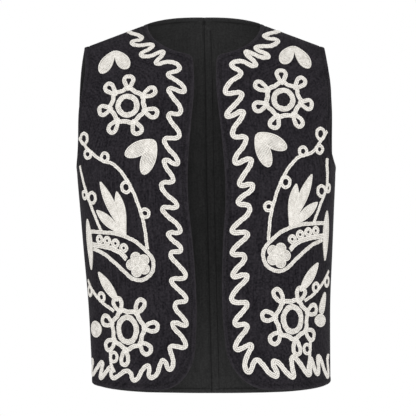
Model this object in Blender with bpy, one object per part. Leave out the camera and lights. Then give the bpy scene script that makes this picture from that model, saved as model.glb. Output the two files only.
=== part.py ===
"""Open-front waistcoat with raised folk embroidery, worn and hollow, for Blender 4.5.

Metres, +Z up. X runs to the wearer's left, -Y to the front. The origin lies midway between
the neck points of the shoulder seams, where the garment hangs on the person who wears it.
"""

import math
from collections import namedtuple

import bpy
import numpy as np
from mathutils import Vector
from mathutils.geometry import delaunay_2d_cdt

# Sizes of the cut
NECK_HALF_WIDTH = 0.0905
SHOULDER_HALF_WIDTH = 0.192
SHOULDER_SLOPE = 0.3725
FRONT_NECK_DROP = 0.0545
BACK_NECK_HEIGHT = 0.016
FRONT_HEM = -0.578
SIDE_HEM = -0.569
BACK_HEM = -0.599
UNDERARM = -0.232
CORNER_HEIGHT = 0.077
CORNER_WIDTHS = {"left": 0.070, "right": 0.058}
WALL = 0.0016
TURNED_EDGE_WIDTH = 0.008
TURNED_EDGE_RISE = 0.0006
SEAM_GAP = 0.0003

# The rounding from the shoulder ridge down to the full chest and back
Rounding = namedtuple("Rounding", "reach fall blend neck_rise")
ROUNDINGS = {
    "front": Rounding(reach=0.24, fall=2.2, blend=1.4, neck_rise=0.0),
    "back": Rounding(reach=0.20, fall=2.2, blend=1.5, neck_rise=0.050),
}

# Sections round the body, each a superellipse; sway moves a section to the wearer's left
Section = namedtuple("Section", "height half_width front_depth back_depth squareness sway")
SECTIONS = (
    Section(-0.61, 0.1898, 0.121, 0.117, 2.35, 0.0128),
    Section(-0.52, 0.1912, 0.120, 0.111, 2.35, 0.0106),
    Section(-0.44, 0.1936, 0.121, 0.105, 2.40, 0.0084),
    Section(-0.36, 0.1988, 0.124, 0.103, 2.50, 0.0064),
    Section(-0.30, 0.2024, 0.125, 0.105, 2.70, 0.0050),
    Section(-0.235, 0.2062, 0.122, 0.109, 3.00, 0.0036),
    Section(-0.17, 0.2074, 0.118, 0.112, 3.30, 0.0028),
    Section(-0.10, 0.2075, 0.117, 0.113, 3.40, 0.0020),
    Section(0.00, 0.2070, 0.117, 0.113, 3.40, 0.0000),
    Section(0.07, 0.2070, 0.117, 0.113, 3.40, 0.0000),
)

# Distance of the front edge from the centre line, from the rounded corner up to the neck
EdgeRow = namedtuple("EdgeRow", "height gap")
FRONT_EDGE = (
    EdgeRow(-0.501, 0.0228),
    EdgeRow(-0.465, 0.0202),
    EdgeRow(-0.420, 0.0200),
    EdgeRow(-0.380, 0.0216),
    EdgeRow(-0.335, 0.0244),
    EdgeRow(-0.290, 0.0285),
    EdgeRow(-0.250, 0.0290),
    EdgeRow(-0.200, 0.0262),
    EdgeRow(-0.143, 0.0206),
    EdgeRow(-0.106, 0.0172),
    EdgeRow(-0.068, 0.0180),
)
NECK_CORNER = (EdgeRow(-0.0605, 0.0188), EdgeRow(-0.0548, 0.0220))
NECK_CORNER_TURN = 19.0

# The armhole as degrees round the body from the centre line, from the underarm up
ArmholeRow = namedtuple("ArmholeRow", "height front_left front_right back")
ARMHOLE = (
    ArmholeRow(-0.2320, 90.0, 90.0, 90.0),
    ArmholeRow(-0.2265, 80.5, 82.5, 83.5),
    ArmholeRow(-0.2120, 73.8, 77.5, 79.0),
    ArmholeRow(-0.1850, 70.8, 74.5, 77.6),
    ArmholeRow(-0.1410, 71.8, 73.0, 77.2),
    ArmholeRow(-0.1060, 72.3, 69.4, 75.5),
    ArmholeRow(-0.0690, 70.2, 67.4, 72.6),
)

# Large soft folds, each a long swell (+) or trough (-) of the cloth
Fold = namedtuple("Fold", "panel top top_angle bottom bottom_angle depth width")
FOLDS = (
    Fold("front_right", -0.06, 56.0, -0.27, 60.0, -0.0026, 0.020),
    Fold("front_right", -0.08, 64.0, -0.24, 70.0, 0.0022, 0.018),
    Fold("front_right", -0.36, 72.0, -0.56, 76.0, 0.0022, 0.028),
    Fold("front_left", -0.13, 58.0, -0.30, 66.0, -0.0020, 0.024),
    Fold("front_left", -0.40, 74.0, -0.56, 72.0, -0.0020, 0.030),
    Fold("back_right", -0.16, 34.0, -0.58, 30.0, 0.0040, 0.036),
    Fold("back_right", -0.24, 60.0, -0.58, 58.0, -0.0036, 0.034),
    Fold("back_left", -0.18, 38.0, -0.58, 33.0, 0.0036, 0.036),
    Fold("back_left", -0.22, 64.0, -0.58, 62.0, -0.0032, 0.034),
)
FOLD_FADE = 0.08

# Embroidery: strokes of couched cord and filled shapes, raised off the fronts
CORD_WIDTH = 0.0078
TENDRIL_WIDTH = 0.0048
EMBROIDERY_LIFT = 0.0009
EMBROIDERY_EDGE_TOP = 0.0017
EMBROIDERY_CROWN_TOP = 0.0022
RIGHT_FRONT_STRETCH = 1.02
RIGHT_FRONT_DROP = 0.007

# The wavy border: one wave's length, how far its middle line lies inside the edge, its reach
Wave = namedtuple("Wave", "length inset reach")
BORDER_WAVES = {
    "neck": Wave(length=0.025, inset=0.023, reach=0.0095),
    "edge": Wave(length=0.0365, inset=0.0265, reach=0.0110),
    "hem": Wave(length=0.031, inset=0.034, reach=0.0120),
}
BORDER_NECK_LENGTH = 0.085
BORDER_NECK_BLEND = 0.04
BORDER_HEM_LENGTH = 0.150
BORDER_TOP_ANGLE = 82.0
BORDER_NECK_CORNER_ANGLE = 30.0
BORDER_EDGE_TOP = -0.094
BORDER_EDGE_BOTTOM = -0.500
BORDER_END_X = 0.186
BORDER_DIPS = {"left": 0.0, "right": 0.011}
BORDER_DIP_WIDTH = 0.045
BORDER_DIP_QUIET = 0.45
WAIST_ROSETTE_OUT = 0.133
BORDER_STEPS = 8
BORDER_FIRST_PHASE = 0.6 * math.pi
BORDER_LEAN = 0.55
BORDER_ROUNDING = 0.0016
BORDER_TURN_WINDOW = 0.008

# Rosettes, a ring inside a wavy frame with seven loops; curled tendrils; the paisley
ROSETTE_LOOPS = 7
ROSETTE_FRAME_RADIUS = 0.0275
ROSETTE_FRAME_WAVE = 0.06
ROSETTE_LOOP_DISTANCE = 0.0415
ROSETTE_LOOP_RADIUS = 0.0068
ROSETTE_RING_RADIUS = 0.0155
TENDRIL_LOOP_RADIUS = 0.0054
PAISLEY_RADIUS = 0.0275
PAISLEY_LENGTH = 0.098
PAISLEY_CURL = 0.018
PAISLEY_UPPER_FULLNESS = 1.85
PAISLEY_LOWER_FULLNESS = 1.45
PAISLEY_TURN = 25.0
PAISLEY_STROKE = 0.0062
SCALLOP_RADIUS = 0.0115

# Rows and columns of the panels, and points of round shapes
CORNER_ROWS = 6
EDGE_ROWS = 12
SIDE_SEAM_ROWS = 13
MIDDLE_COLUMNS = 9
NECKLINE_SHARES = (0.0, 0.18, 0.36, 0.54, 0.71, 0.86, 0.96, 1.0)
BACK_NECK_SHARES = (0.0, 0.22, 0.44, 0.64, 0.81, 0.94, 1.0)
ARMHOLE_SHARES = (
    *(0.0, 0.06, 0.13, 0.21, 0.29, 0.37, 0.45, 0.53),
    *(0.61, 0.69, 0.77, 0.84, 0.90, 0.95, 0.985, 1.0),
)
CURVE_STEPS = 24
ARC_STEPS = 61
RING_SIDES = 16
LOOP_SIDES = 7
FRAME_STEPS = 4
PAISLEY_STEPS = 28
SMALL_TURN = 0.004
SMALL_LENGTH = 0.0005


def smooth_curve(places, values):
    """A smooth curve through a table's rows, as a function of the first column."""
    places = np.array(places)
    values = np.array(values)
    slopes = np.gradient(values, places)

    def value(at):
        at = np.clip(at, places[0], places[-1])
        row = np.clip(np.searchsorted(places, at, side="right") - 1, 0, len(places) - 2)
        step = places[row + 1] - places[row]
        t = (at - places[row]) / step
        ends = values[row] * (1 + 2 * t) * (1 - t) ** 2 + values[row + 1] * t * t * (3 - 2 * t)
        return ends + step * t * (1 - t) * (slopes[row] * (1 - t) - slopes[row + 1] * t)

    return value


def section_column(name):
    heights = [section.height for section in SECTIONS]
    return smooth_curve(heights, [getattr(section, name) for section in SECTIONS])


half_width_at = section_column("half_width")
squareness_at = section_column("squareness")
sway_at = section_column("sway")
depth_at = {"front": section_column("front_depth"), "back": section_column("back_depth")}
front_gap_at = smooth_curve([row.height for row in FRONT_EDGE], [row.gap for row in FRONT_EDGE])


def shoulder_height(x, neck_rise):
    """Height of the ridge over x: the shoulder seam, and its smooth line over the neck."""
    share = np.minimum(np.abs(x) / NECK_HALF_WIDTH, 1.0)
    over_neck = 0.5 * SHOULDER_SLOPE * NECK_HALF_WIDTH * (1 - share**2)
    over_neck = over_neck + neck_rise * (1 - share**2) ** 2
    return over_neck - SHOULDER_SLOPE * np.maximum(np.abs(x) - NECK_HALF_WIDTH, 0.0)


def fullness(face, below_ridge):
    """0 on the shoulder ridge, growing to 1 where the chest or back is full."""
    rounding = ROUNDINGS[face]
    left = 1 - np.clip(below_ridge / rounding.reach, 0.0, 1.0)
    return np.maximum(1 - left**rounding.fall, 0.0) ** (1 / rounding.blend)


def fold_depth(face, hand, angle, height):
    """How far the folds push the cloth out at this place."""
    total = np.zeros(np.broadcast(angle, height).shape)
    for fold in FOLDS:
        if fold.panel != f"{face}_{hand}":
            continue
        along = np.clip((fold.top - height) / (fold.top - fold.bottom), 0.0, 1.0)
        centre = fold.top_angle + (fold.bottom_angle - fold.top_angle) * along
        across = (np.degrees(angle) - centre) * math.radians(1) * half_width_at(height)
        fade_in = np.clip((fold.top - height) / FOLD_FADE, 0.0, 1.0)
        open_end = fold.bottom < SIDE_HEM + FOLD_FADE
        fade_out = 1.0 if open_end else np.clip((height - fold.bottom) / FOLD_FADE, 0.0, 1.0)
        window = fade_in**2 * (3 - 2 * fade_in) * fade_out**2 * (3 - 2 * fade_out)
        total = total + fold.depth * np.exp(-((across / fold.width) ** 2)) * window
    seam_window = np.clip((math.pi / 2 - angle) / math.radians(9), 0.0, 1.0)
    return total * seam_window


def outer_point(face, hand, angle, height):
    """A point of the cloth's outer face; angle is 0 on the centre line and a right angle at the side."""
    angle, height = np.broadcast_arrays(np.asarray(angle, float), np.asarray(height, float))
    wide = half_width_at(height)
    deep = depth_at[face](height)
    power = squareness_at(height)
    sine = np.abs(np.sin(angle))
    cosine = np.abs(np.cos(angle))
    radius = ((sine / wide) ** power + (cosine / deep) ** power) ** (-1 / power)
    radius = radius + fold_depth(face, hand, angle, height)
    x = radius * sine
    below = shoulder_height(x, ROUNDINGS[face].neck_rise) - height
    y = radius * cosine * fullness(face, below) + SEAM_GAP / 2
    if face == "back":
        x = x + SEAM_GAP / 2
    across = 1 if hand == "left" else -1
    back = 1 if face == "back" else -1
    return np.stack([across * x + sway_at(height), back * y, height], axis=-1)


def outer_normal(face, hand, angle, height):
    """The direction out of the cloth there, from its slope round the body and downwards."""
    angle, height = np.broadcast_arrays(np.asarray(angle, float), np.asarray(height, float))
    ahead = outer_point(face, hand, np.minimum(angle + SMALL_TURN, math.pi / 2), height)
    behind = outer_point(face, hand, np.maximum(angle - SMALL_TURN, 0.0), height)
    here = outer_point(face, hand, angle, height)
    lower = outer_point(face, hand, angle, height - SMALL_LENGTH)
    normal = np.cross(ahead - behind, here - lower)
    same_way = (hand == "left") == (face == "front")
    normal = normal if same_way else -normal
    return normal / np.linalg.norm(normal, axis=-1, keepdims=True)


def angle_of_x(face, x, height):
    """The angle at which the section of this height is x away from the centre line."""
    wide = half_width_at(height)
    power = squareness_at(height)
    share = np.clip(np.asarray(x) / wide, 0.0, 1.0)
    deep = depth_at[face](height) * (1 - share**power) ** (1 / power)
    return np.arctan2(x, deep)


def arc_lengths(face, hand, height):
    """Angles from the centre line to the side, and the length of cloth up to each of them."""
    angles = np.linspace(0.0, math.pi / 2, ARC_STEPS)
    points = outer_point(face, hand, angles, np.full(ARC_STEPS, height))
    steps = np.linalg.norm(np.diff(points, axis=0), axis=1)
    return angles, np.concatenate([[0.0], np.cumsum(steps)])


def length_of_angle(face, hand, angle, height):
    angles, lengths = arc_lengths(face, hand, height)
    return float(np.interp(angle, angles, lengths))


def angle_of_length(face, hand, length, height):
    angles, lengths = arc_lengths(face, hand, height)
    return float(np.interp(length, lengths, angles))


def spline(points, steps):
    """Points on a smooth curve through the given ones, with so many steps between each two."""
    points = np.array(points, float)
    padded = np.vstack([2 * points[0] - points[1], points, 2 * points[-1] - points[-2]])
    curve = []
    for a, b, c, d in zip(padded, padded[1:], padded[2:], padded[3:]):
        for t in np.arange(steps) / steps:
            curve.append(
                0.5 * (2 * b + (c - a) * t + (2 * a - 5 * b + 4 * c - d) * t**2)
                + 0.5 * (3 * b - a - 3 * c + d) * t**3
            )
    return np.array(curve + [points[-1]])


def along(curve, shares):
    """Points at these shares of a curve's length."""
    steps = np.linalg.norm(np.diff(curve, axis=0), axis=1)
    lengths = np.concatenate([[0.0], np.cumsum(steps)])
    wanted = np.asarray(shares) * lengths[-1]
    return np.stack([np.interp(wanted, lengths, column) for column in curve.T], axis=-1)


Grid = namedtuple("Grid", "angle height")


def front_opening(hand):
    """The front's free edge as x and height: round corner, straight edge, neck corner, neckline."""
    lowest = FRONT_EDGE[0]
    turns = np.linspace(0.0, math.pi / 2, CORNER_ROWS + 1)
    corner = [
        (
            lowest.gap + CORNER_WIDTHS[hand] * (1 - math.sin(turn)),
            FRONT_HEM + CORNER_HEIGHT * (1 - math.cos(turn)),
        )
        for turn in turns
    ]
    heights = np.linspace(lowest.height, FRONT_EDGE[-1].height, EDGE_ROWS + 1)
    edge = [(float(front_gap_at(height)), height) for height in heights]
    ring = np.linspace(math.radians(NECK_CORNER_TURN), math.pi / 2, CURVE_STEPS)
    neckline = np.stack([NECK_HALF_WIDTH * np.sin(ring), -FRONT_NECK_DROP * np.cos(ring)], axis=-1)
    neck_corner = [(row.gap, row.height) for row in NECK_CORNER]
    return np.vstack([corner[:-1], edge, neck_corner, along(neckline, NECKLINE_SHARES)])


def back_centre():
    """The back's inner side as x and height: centre seam from hem to neck, then the neckline."""
    seam_rows = len(front_opening("left")) - len(BACK_NECK_SHARES)
    seam = [(0.0, height) for height in np.linspace(BACK_HEM, BACK_NECK_HEIGHT, seam_rows + 1)]
    share = np.linspace(0.0, 1.0, CURVE_STEPS)
    neckline = np.stack([NECK_HALF_WIDTH * share, BACK_NECK_HEIGHT * (1 - share**2.5)], axis=-1)
    return np.vstack([seam[:-1], along(neckline, BACK_NECK_SHARES)])


def outer_side(face, hand):
    """Side seam from the hem up, then the armhole, as angle and height."""
    column = "back" if face == "back" else f"front_{hand}"
    heights = np.linspace(SIDE_HEM, UNDERARM, SIDE_SEAM_ROWS + 1)
    seam = [(math.pi / 2, height) for height in heights]
    tip_height = float(shoulder_height(SHOULDER_HALF_WIDTH, 0.0))
    tip = (float(angle_of_x(face, SHOULDER_HALF_WIDTH, tip_height)), tip_height)
    rows = [(math.radians(getattr(row, column)), row.height) for row in ARMHOLE]
    # A metre of angle stands for the half width, so that shares follow real lengths
    scale = np.array([SHOULDER_HALF_WIDTH, 1.0])
    hole = along(spline(np.array(rows + [tip]) * scale, 8), ARMHOLE_SHARES) / scale
    return np.vstack([seam[:-1], hole])


def panel_grid(face, hand):
    """Rows from the hem up and columns from the centre out, the last one narrow for the turned edge."""
    inner = front_opening(hand) if face == "front" else back_centre()
    inner_angle = angle_of_x(face, inner[:, 0], inner[:, 1])
    outer = outer_side(face, hand)
    last = len(inner) - 1
    rise = ROUNDINGS[face].neck_rise
    angles = []
    heights = []
    for row in range(len(inner)):
        share_up = row / last
        start = length_of_angle(face, hand, inner_angle[row], inner[row, 1])
        end = length_of_angle(face, hand, outer[row, 0], outer[row, 1])
        band = TURNED_EDGE_WIDTH / max(end - start, 4 * TURNED_EDGE_WIDTH)
        shares = np.concatenate([[0.0], np.linspace(band, 1 - band, MIDDLE_COLUMNS), [1.0]])
        height = inner[row, 1] + (outer[row, 1] - inner[row, 1]) * shares
        length = start + (end - start) * shares
        angle = np.array([angle_of_length(face, hand, out, up) for out, up in zip(length, height)])
        angle[0] = inner_angle[row]
        angle[-1] = outer[row, 0]
        # Upper rows bend to the ridge's line, and the hem stays low until it nears the side seam
        side = outer_point(face, "left", angle, height)[:, 0] - sway_at(height)
        ridge = shoulder_height(side, rise)
        ridge_dip = ridge - (ridge[0] + (ridge[-1] - ridge[0]) * shares)
        height = height + share_up**6 * ridge_dip
        middle_hem = FRONT_HEM if face == "front" else BACK_HEM
        height = height + (1 - share_up) ** 6 * (SIDE_HEM - middle_hem) * (shares**3 - shares)
        angles.append(angle)
        heights.append(height)
    return Grid(np.array(angles), np.array(heights))


def cloth_wall(face, hand):
    """Corners and faces of one panel: an outer skin, an inner skin and the rim between them."""
    grid = panel_grid(face, hand)
    outer = outer_point(face, hand, grid.angle, grid.height)
    normal = outer_normal(face, hand, grid.angle, grid.height)
    normal[-1, :, 1] = 0.0
    normal[: SIDE_SEAM_ROWS + 1, -1, 1] = 0.0
    if face == "back":
        normal[: len(normal) - len(BACK_NECK_SHARES) + 1, 0, 0] = 0.0
    normal = normal / np.linalg.norm(normal, axis=-1, keepdims=True)
    inner = outer - normal * WALL
    rise = np.zeros(grid.angle.shape)
    rise[0, :] = TURNED_EDGE_RISE
    rise[SIDE_SEAM_ROWS + 1 : -1, -1] = TURNED_EDGE_RISE
    neck_from = 0 if face == "front" else len(rise) - len(BACK_NECK_SHARES) + 1
    rise[neck_from:-1, 0] = TURNED_EDGE_RISE
    outer = outer + normal * rise[..., None]
    rows, columns = grid.angle.shape
    corners = np.vstack([outer.reshape(-1, 3), inner.reshape(-1, 3)])
    skin = rows * columns
    faces = []
    for row in range(rows - 1):
        for column in range(columns - 1):
            a = row * columns + column
            quad = (a, a + 1, a + columns + 1, a + columns)
            faces.append(quad)
            faces.append(tuple(skin + corner for corner in reversed(quad)))
    ring = list(range(columns))
    ring += [row * columns + columns - 1 for row in range(1, rows)]
    ring += [(rows - 1) * columns + column for column in range(columns - 2, -1, -1)]
    ring += [row * columns for row in range(rows - 2, 0, -1)]
    for a, b in zip(ring, ring[1:] + ring[:1]):
        faces.append((b, a, a + skin, b + skin))
    if (hand == "left") != (face == "front"):
        faces = [tuple(reversed(f)) for f in faces]
    return corners, faces


def round_its_middle(corners):
    """The corners in the order that goes round their middle to the left, so that no side crosses."""
    corners = np.array(corners)
    spokes = corners - corners.mean(axis=0)
    return corners[np.argsort(np.arctan2(spokes[:, 1], spokes[:, 0]))]


def ribbon(path, width, closed=False):
    """The strip that a cord of this width covers along a path, as one four-sided piece a step."""
    path = np.array(path, float)
    if closed:
        before = np.roll(path, 1, axis=0)
        after = np.roll(path, -1, axis=0)
    else:
        before = np.vstack([path[0], path[:-1]])
        after = np.vstack([path[1:], path[-1]])
    way = after - before
    way = way / np.linalg.norm(way, axis=1, keepdims=True)
    side = np.stack([-way[:, 1], way[:, 0]], axis=-1) * width / 2
    left = path + side
    right = path - side
    count = len(path)
    pairs = [(i, (i + 1) % count) for i in range(count if closed else count - 1)]
    return [round_its_middle([right[i], right[j], left[j], left[i]]) for i, j in pairs]


def ring_path(centre, radius, sides, turn=0.0, tall=1.0):
    angles = turn + np.arange(sides) * 2 * math.pi / sides
    out = centre[0] + radius * np.cos(angles)
    up = centre[1] + tall * radius * np.sin(angles)
    return np.stack([out, up], axis=-1)


def leaf(base, tip, width, belly=0.5, point=0.5, steps=6):
    """A filled leaf or lobe from base to tip: point 0.5 gives round ends and 1 gives sharp ones."""
    base = np.array(base, float)
    tip = np.array(tip, float)
    spine = tip - base
    side = np.array([-spine[1], spine[0]]) / np.linalg.norm(spine)
    shares = (1 - np.cos(np.linspace(0.0, math.pi, steps + 1))) / 2
    power = math.log(0.5) / math.log(belly)
    half = width / 2 * np.sin(math.pi * shares**power) ** point
    shapes = []
    for size in (1.0, 0.5):
        middle = base + spine * (0.5 + (shares[:, None] - 0.5) * size)
        right = middle - side * half[:, None] * size
        left = middle + side * half[:, None] * size
        shapes.append(np.vstack([right, left[-2:0:-1]]))
    return shapes


def looped_stem(points, loops):
    """A tendril through these points; each loop is a share of its length and a side, 1 for left."""
    stem = spline(points, 3)
    shapes = ribbon(stem, TENDRIL_WIDTH)
    for share, side in loops:
        before, here, after = along(stem, (share - 0.02, share, share + 0.02))
        way = (after - before) / np.linalg.norm(after - before)
        centre = here + np.array([-way[1], way[0]]) * side * TENDRIL_LOOP_RADIUS
        loop = ring_path(centre, TENDRIL_LOOP_RADIUS, LOOP_SIDES)
        shapes += ribbon(loop, TENDRIL_WIDTH, closed=True)
    return shapes


def on_front(hand, points):
    """Takes points seen from the front, as x and height, to lengths out and heights."""
    placed = []
    for x, z in points:
        angle = angle_of_x("front", x, z)
        placed.append((length_of_angle("front", hand, angle, z), z))
    return placed


def rosette_ring(centre, tall):
    ring = ring_path(centre, ROSETTE_RING_RADIUS, RING_SIDES, tall=tall)
    return ribbon(ring, CORD_WIDTH, closed=True)


def rosette_loops(centre, tall, lean):
    """The wavy frame of a rosette with its loops, the first of them at the angle lean."""
    steps = ROSETTE_LOOPS * FRAME_STEPS
    angles = np.arange(steps) * 2 * math.pi / steps
    wave = np.cos(ROSETTE_LOOPS * (angles - lean))
    radius = ROSETTE_FRAME_RADIUS * (1 + ROSETTE_FRAME_WAVE * wave)
    frame = ring_path(centre, radius, steps, tall=tall)
    shapes = ribbon(frame, CORD_WIDTH, closed=True)
    for middle in ring_path(centre, ROSETTE_LOOP_DISTANCE, ROSETTE_LOOPS, lean, tall):
        loop = ring_path(middle, ROSETTE_LOOP_RADIUS, LOOP_SIDES, tall=tall)
        shapes += ribbon(loop, CORD_WIDTH, closed=True)
    return shapes


def heart(apex, lobe_ends, width):
    shapes = []
    for end in lobe_ends:
        shapes += leaf(apex, end, width, belly=0.52)
    return shapes


def flower(centre, radius, petals=5):
    shapes = []
    for tip in ring_path(centre, radius, petals, math.radians(70)):
        shapes += leaf(centre, tip, radius * 0.86, belly=0.62, steps=5)
    return shapes


def paisley_outline(centre):
    """A drop with a round end about centre, fuller above, its tail drawn out and curled up."""
    turns = np.arange(PAISLEY_STEPS) * 2 * math.pi / PAISLEY_STEPS
    share = (1 + np.cos(turns)) / 2
    reach = (PAISLEY_LENGTH + PAISLEY_RADIUS) * share**1.1 - PAISLEY_RADIUS
    full = np.where(np.sin(turns) > 0, PAISLEY_UPPER_FULLNESS, PAISLEY_LOWER_FULLNESS)
    across = PAISLEY_RADIUS * full * np.sin(turns) * (1 - share)
    across = across + PAISLEY_CURL * np.maximum(reach / PAISLEY_LENGTH, 0.0) ** 2
    turn = math.radians(PAISLEY_TURN)
    out = centre[0] + reach * math.cos(turn) - across * math.sin(turn)
    up = centre[1] + reach * math.sin(turn) + across * math.cos(turn)
    return np.stack([out, up], axis=-1)


def border_dip(hand, out):
    """How far the hem's border sinks under the waist rosette, which hangs lower on the right."""
    return BORDER_DIPS[hand] * np.exp(-(((out - WAIST_ROSETTE_OUT) / BORDER_DIP_WIDTH) ** 2))


def border_spine(hand):
    """The middle line of the wavy border, from the shoulder round the neck and down to the hem."""
    neck = BORDER_WAVES["neck"].inset
    edge = BORDER_WAVES["edge"].inset
    hem_line = FRONT_HEM + BORDER_WAVES["hem"].inset
    ring = np.radians(np.linspace(BORDER_TOP_ANGLE, BORDER_NECK_CORNER_ANGLE, 5))
    neck_out = (NECK_HALF_WIDTH + neck) * np.sin(ring)
    neck_up = -(FRONT_NECK_DROP + neck) * np.cos(ring)
    heights = np.linspace(BORDER_EDGE_TOP, BORDER_EDGE_BOTTOM, 11)
    edge_run = [(float(front_gap_at(height)) + edge, height) for height in heights]
    start = edge_run[-1][0]
    corner_run = [(start + 0.006, -0.522), (start + 0.018, hem_line + 0.006)]
    hem_out = np.linspace(start + 0.037, BORDER_END_X, 7)
    hem_run = np.stack([hem_out, hem_line - border_dip(hand, hem_out)], axis=-1)
    neck_run = np.stack([neck_out, neck_up], axis=-1)
    return spline(np.vstack([neck_run, edge_run, corner_run, hem_run]), 6)


def border_wave(hand):
    """The wavy cord itself; its outer turns lean back up the edge, as in hand-laid cord."""
    spine = border_spine(hand)
    length = np.linalg.norm(np.diff(spine, axis=0), axis=1).sum()
    runs = (("neck", 0.0), ("edge", BORDER_NECK_LENGTH), ("hem", length - BORDER_HEM_LENGTH))
    places = [0.0]
    while places[-1] < length - BORDER_WAVES["hem"].length / BORDER_STEPS:
        run = [name for name, start in runs if places[-1] >= start][-1]
        places.append(places[-1] + BORDER_WAVES[run].length / BORDER_STEPS)
    places = np.array(places)
    phases = BORDER_FIRST_PHASE + np.arange(len(places)) * 2 * math.pi / BORDER_STEPS
    edge_from = BORDER_NECK_LENGTH + BORDER_NECK_BLEND
    reach_places = [0.0, BORDER_NECK_LENGTH, edge_from, length - BORDER_HEM_LENGTH, length]
    reach_values = [BORDER_WAVES[name].reach for name in ("neck", "neck", "edge", "edge", "hem")]
    on_spine = along(spine, places / length)
    on_hem = on_spine[:, 1] < BORDER_EDGE_BOTTOM
    quiet = BORDER_DIP_QUIET * border_dip(hand, on_spine[:, 0]) * on_hem
    reach = smooth_curve(reach_places, reach_values)(places) - quiet
    lateral = reach * np.sin(phases)
    forward = places - BORDER_LEAN * lateral - BORDER_ROUNDING * np.sin(2 * phases)
    shares = np.clip(forward / length, 0.0, 1.0)
    ahead = along(spine, np.minimum(shares + BORDER_TURN_WINDOW, 1.0))
    behind = along(spine, np.maximum(shares - BORDER_TURN_WINDOW, 0.0))
    way = (ahead - behind) / np.linalg.norm(ahead - behind, axis=1, keepdims=True)
    into_cloth = np.stack([-way[:, 1], way[:, 0]], axis=-1)
    return along(spine, shares) + into_cloth * lateral[:, None]


def embroidery(hand):
    """Every motif of one front by name, as the flat shapes that it covers.

    Places are x from the centre line and height, as seen from the front. The right front
    repeats the left one, a little longer and lower, as hand embroidery does.
    """

    def seen(*points):
        if hand == "right":
            points = [(x, z * RIGHT_FRONT_STRETCH - RIGHT_FRONT_DROP) for x, z in points]
        return on_front(hand, points)

    link = seen((0.157, -0.508), (0.156, -0.522)) + on_front(hand, [(0.151, -0.552)])
    border = ribbon(on_front(hand, border_wave(hand)), CORD_WIDTH)
    motifs = {"border_wave": border + looped_stem(link, ((0.3, -1),))}

    apex, inner, outer = seen((0.142, -0.040), (0.122, -0.067), (0.163, -0.074))
    motifs["shoulder_heart"] = heart(apex, (inner, outer), 0.020)
    apex, inner, outer = seen((0.080, -0.183), (0.099, -0.230), (0.125, -0.202))
    motifs["bust_heart"] = heart(apex, (inner, outer), 0.026)

    (chest,) = seen((0.122, -0.125))
    motifs["chest_rosette_ring"] = rosette_ring(chest, tall=0.96)
    motifs["chest_rosette_loops"] = rosette_loops(chest, tall=0.96, lean=math.radians(95))

    # The long vine and its loops, a shorter vine beside it, the paisley and what grows on it
    upper = ((0.190, -0.176), (0.167, -0.206), (0.142, -0.217))
    lower = ((0.118, -0.249), (0.100, -0.300), (0.094, -0.345))
    loops = ((0.06, -1), (0.15, 1), (0.29, -1), (0.55, 1), (0.76, -1))
    paisley = looped_stem(seen(*upper, *lower), loops)
    short_vine = seen((0.192, -0.214), (0.187, -0.258), (0.177, -0.290), (0.166, -0.318))
    paisley += looped_stem(short_vine, ((0.42, 1), (0.52, -1)))
    (round_end,) = seen((0.109, -0.368))
    paisley += ribbon(paisley_outline(round_end), PAISLEY_STROKE, closed=True)
    for lobe in seen((0.141, -0.346), (0.157, -0.339), (0.172, -0.333)):
        paisley += [ring_path(lobe, SCALLOP_RADIUS, 10), ring_path(lobe, SCALLOP_RADIUS / 2, 6)]
    (base,) = seen((0.122, -0.330))
    for tip in seen((0.168, -0.243), (0.140, -0.258), (0.173, -0.283)):
        paisley += leaf(base, tip, 0.018, belly=0.55, point=0.8)
    motifs["paisley"] = paisley
    motifs["paisley_flower"] = flower(round_end, 0.0205)
    top, bottom = seen((0.188, -0.298), (0.186, -0.376))
    motifs["side_leaf"] = leaf(top, bottom, 0.018, belly=0.45, point=0.8)

    (waist,) = seen((0.129, -0.468))
    motifs["waist_rosette_ring"] = rosette_ring(waist, tall=1.25)
    loops = rosette_loops(waist, tall=1.08, lean=math.radians(70))
    base, tip = seen((0.146, -0.420), (0.170, -0.381))
    loops += leaf(base, tip, 0.016, belly=0.5, point=0.7)
    curl = seen((0.190, -0.394), (0.179, -0.409), (0.164, -0.425), (0.146, -0.434))
    loops += looped_stem(curl, ((0.22, 1), (0.60, -1)))
    motifs["waist_rosette_loops"] = loops

    high, ball, low, stem = seen((0.179, -0.463), (0.178, -0.473), (0.177, -0.483), (0.184, -0.427))
    if hand == "left":
        motifs["hip_drop"] = leaf(low, high, 0.020) + ribbon([ball, stem], TENDRIL_WIDTH)
    else:
        motifs["hip_drop"] = leaf(low, high, 0.012, point=0.6)
    return motifs


def union_of(shapes):
    """The flat union of overlapping shapes, as points and triangles that go round to the left."""
    millimetre = 1000.0
    corners = []
    faces = []
    for shape in shapes:
        faces.append(list(range(len(corners), len(corners) + len(shape))))
        corners.extend(Vector(point) for point in np.asarray(shape) * millimetre)
    points, _, triangles, _, _, covering = delaunay_2d_cdt(corners, [], faces, 0, 0.01, True)
    kept = [triangle for triangle, sources in zip(triangles, covering) if sources]
    used = sorted({corner for triangle in kept for corner in triangle})
    place = {corner: index for index, corner in enumerate(used)}
    flat = np.array([points[corner] for corner in used]) / millimetre
    return flat, [tuple(place[corner] for corner in triangle) for triangle in kept]


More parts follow.
